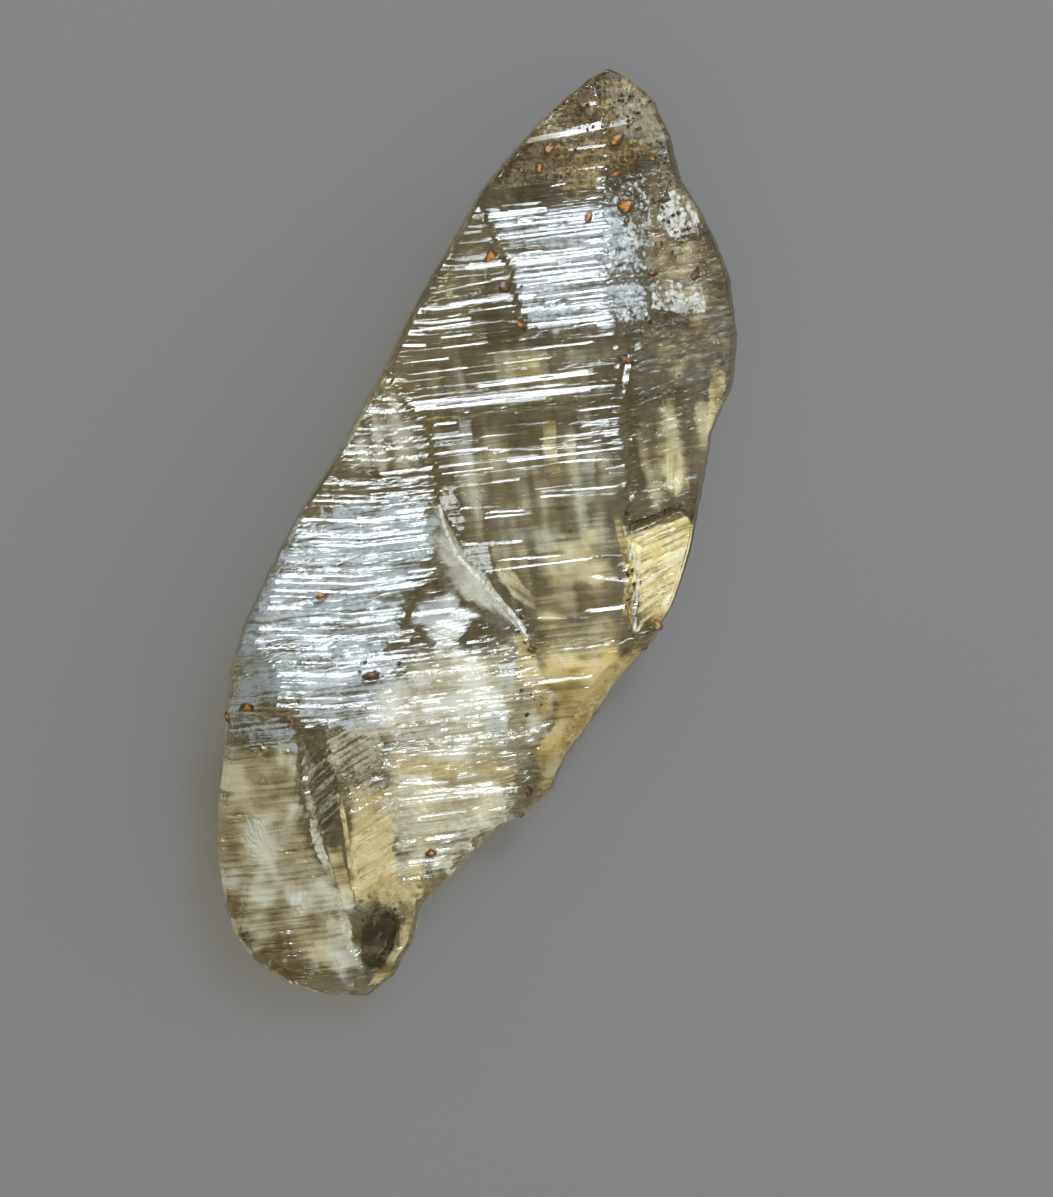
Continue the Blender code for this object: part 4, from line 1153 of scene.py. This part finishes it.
class QUARTZ_OT_add_plates(bpy.types.Operator):
    """Adds the rust-coloured plates, the dark plates and the specks grown onto the front"""
    bl_idname = "quartz.add_plates"
    bl_label = "Add plates and specks"

    def execute(self, context):
        for name, (plates, seed, colours) in PLATES.items():
            u, v, length, width, turn = np.array(plates, float).T
            points = plate_points(u, v, length, width, np.radians(turn), PLATE_THICKNESS + 0 * u, seed, 0.25)
            add_piece(context.scene, name, plates_mesh(name, points), plate_material(name, *colours))
        clouds = []
        for number, (u, v, spread_u, spread_v, count) in enumerate(SPECK_CLOUDS):
            turn, far, large = (lattice(np.arange(count), row, SPECK_SEED + number) for row in range(3))
            angle, reach, size = 2 * math.pi * turn, np.sqrt(far) * 1.2, 0.10 + 0.24 * large ** 2.5
            clouds.append([u + spread_u * reach * np.cos(angle), v + spread_v * reach * np.sin(angle), size, angle])
        u, v, size, turn = np.concatenate(clouds, 1)
        u, v, size, turn = (values[within_outline(u, v)] for values in (u, v, size, turn))
        points = plate_points(u, v, size, 0.7 * size, turn, 0.5 * size, SPECK_SEED, 0.2)
        add_piece(context.scene, "specks", plates_mesh("specks", points),
                  plate_material("specks", *SPECK_COLOURS))
        return {"FINISHED"}


class QUARTZ_OT_add_stage(bpy.types.Operator):
    """Adds the floor, the lights, the room and the camera"""
    bl_idname = "quartz.add_stage"
    bl_label = "Add stage"

    def execute(self, context):
        add_stage(context.scene)
        return {"FINISHED"}


def add_floor(scene, props):
    """A round flat floor just under the crystal's back."""
    angle = np.linspace(0.0, 2 * math.pi, 97)[:-1]
    points = np.stack([FLOOR_RADIUS * np.cos(angle), FLOOR_RADIUS * np.sin(angle), angle * 0 - FLOOR_DROP], -1)
    mesh = bpy.data.meshes.new("floor")
    mesh.from_pydata((points * MM).tolist(), [], [list(range(len(angle)))])
    mesh.materials.append(floor_material(props))
    floor = bpy.data.objects.new("floor", mesh)
    scene.collection.objects.link(floor)


def add_area_light(scene, name, direction, distance, radius, power):
    """A round area light that looks at the crystal from a direction."""
    light = bpy.data.lights.new(name, "AREA")
    light.shape = "DISK"
    light.size = 2 * radius * MM
    light.energy = power
    light.color = LAMP_COLOUR
    lamp = bpy.data.objects.new(name, light)
    direction = Vector(direction).normalized()
    lamp.location = Vector(CAMERA_CENTRE) * MM + direction * distance * MM
    lamp.rotation_euler = direction.to_track_quat("Z", "Y").to_euler()
    scene.collection.objects.link(lamp)
    return lamp


def room_light(tree, strength):
    """Soft room: pale overhead, dim towards the floor, and a little brighter on the right than on the left."""
    direction = node(tree, "ShaderNodeSeparateXYZ")
    tree.links.new(node(tree, "ShaderNodeTexCoord").outputs["Generated"], direction.inputs[0])
    side = weighted_sum(tree, (direction.outputs["X"], 0.30), (direction.outputs["Z"], 0.90))
    level = math_node(tree, "MAXIMUM", math_node(tree, "ADD", side, 0.25), 0.15)
    background = tree.nodes["Background"]
    background.inputs["Color"].default_value = ROOM_COLOUR
    tree.links.new(product(tree, level, strength), background.inputs["Strength"])


def add_stage(scene):
    """Floor, three lamps, soft room light and the camera above."""
    props = scene.quartz_stage
    add_floor(scene, props)
    for name, (facet, distance, radius, radiance) in LIGHTS.items():
        power = radiance * props.light * (math.pi * radius * MM) ** 2
        add_area_light(scene, name, mirror_direction(*facet), distance, radius, power)
    world = bpy.data.worlds.new("room")
    world.use_nodes = True
    room_light(world.node_tree, props.fill)
    scene.world = world
    camera = bpy.data.cameras.new("camera")
    camera.sensor_width = SENSOR
    camera.lens = SENSOR * CAMERA_DISTANCE / (PICTURE_PIXELS[1] * MM_PER_PIXEL)
    camera.clip_start = 0.01
    eye = bpy.data.objects.new("camera", camera)
    eye.location = (Vector(CAMERA_CENTRE) + Vector((0.0, 0.0, CAMERA_DISTANCE))) * MM
    eye.rotation_euler = (0.0, 0.0, CAMERA_ROLL)
    scene.collection.objects.link(eye)
    scene.camera = eye
    scene.view_settings.view_transform = "Standard"
    scene.cycles.caustics_refractive = False
    scene.cycles.caustics_reflective = False
    scene.cycles.max_bounces = 6
    scene.cycles.transmission_bounces = 6
    scene.cycles.transparent_max_bounces = 12


class QUARTZ_PT_panel(bpy.types.Panel):
    """Lists the crystal's settings and the operators that add it"""
    bl_idname = "QUARTZ_PT_panel"
    bl_label = "Quartz crystal"
    bl_space_type = "VIEW_3D"
    bl_region_type = "UI"
    bl_category = "Quartz"

    def draw(self, context):
        for operator in OPERATORS:
            self.layout.operator(operator.bl_idname)
        for group in (context.scene.quartz_crystal, context.scene.quartz_finish, context.scene.quartz_stage):
            box = self.layout.box()
            for name in group.bl_rna.properties.keys():
                if name not in ("rna_type", "name"):
                    box.prop(group, name)


GROUPS = {"quartz_crystal": CrystalSettings, "quartz_finish": FinishSettings, "quartz_stage": StageSettings}
OPERATORS = (QUARTZ_OT_add_crystal, QUARTZ_OT_add_sheets, QUARTZ_OT_add_plates, QUARTZ_OT_add_stage)
CLASSES = tuple(GROUPS.values()) + OPERATORS + (QUARTZ_PT_panel,)


def register():
    for made in CLASSES:
        bpy.utils.register_class(made)
    for name, group in GROUPS.items():
        setattr(bpy.types.Scene, name, bpy.props.PointerProperty(type=group))


def unregister():
    for name in GROUPS:
        delattr(bpy.types.Scene, name)
    for made in reversed(CLASSES):
        bpy.utils.unregister_class(made)


def main():
    register()
    bpy.ops.quartz.add_crystal()
    bpy.ops.quartz.add_sheets()
    bpy.ops.quartz.add_plates()
    bpy.ops.quartz.add_stage()
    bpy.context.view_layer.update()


if __name__ == "__main__":
    main()
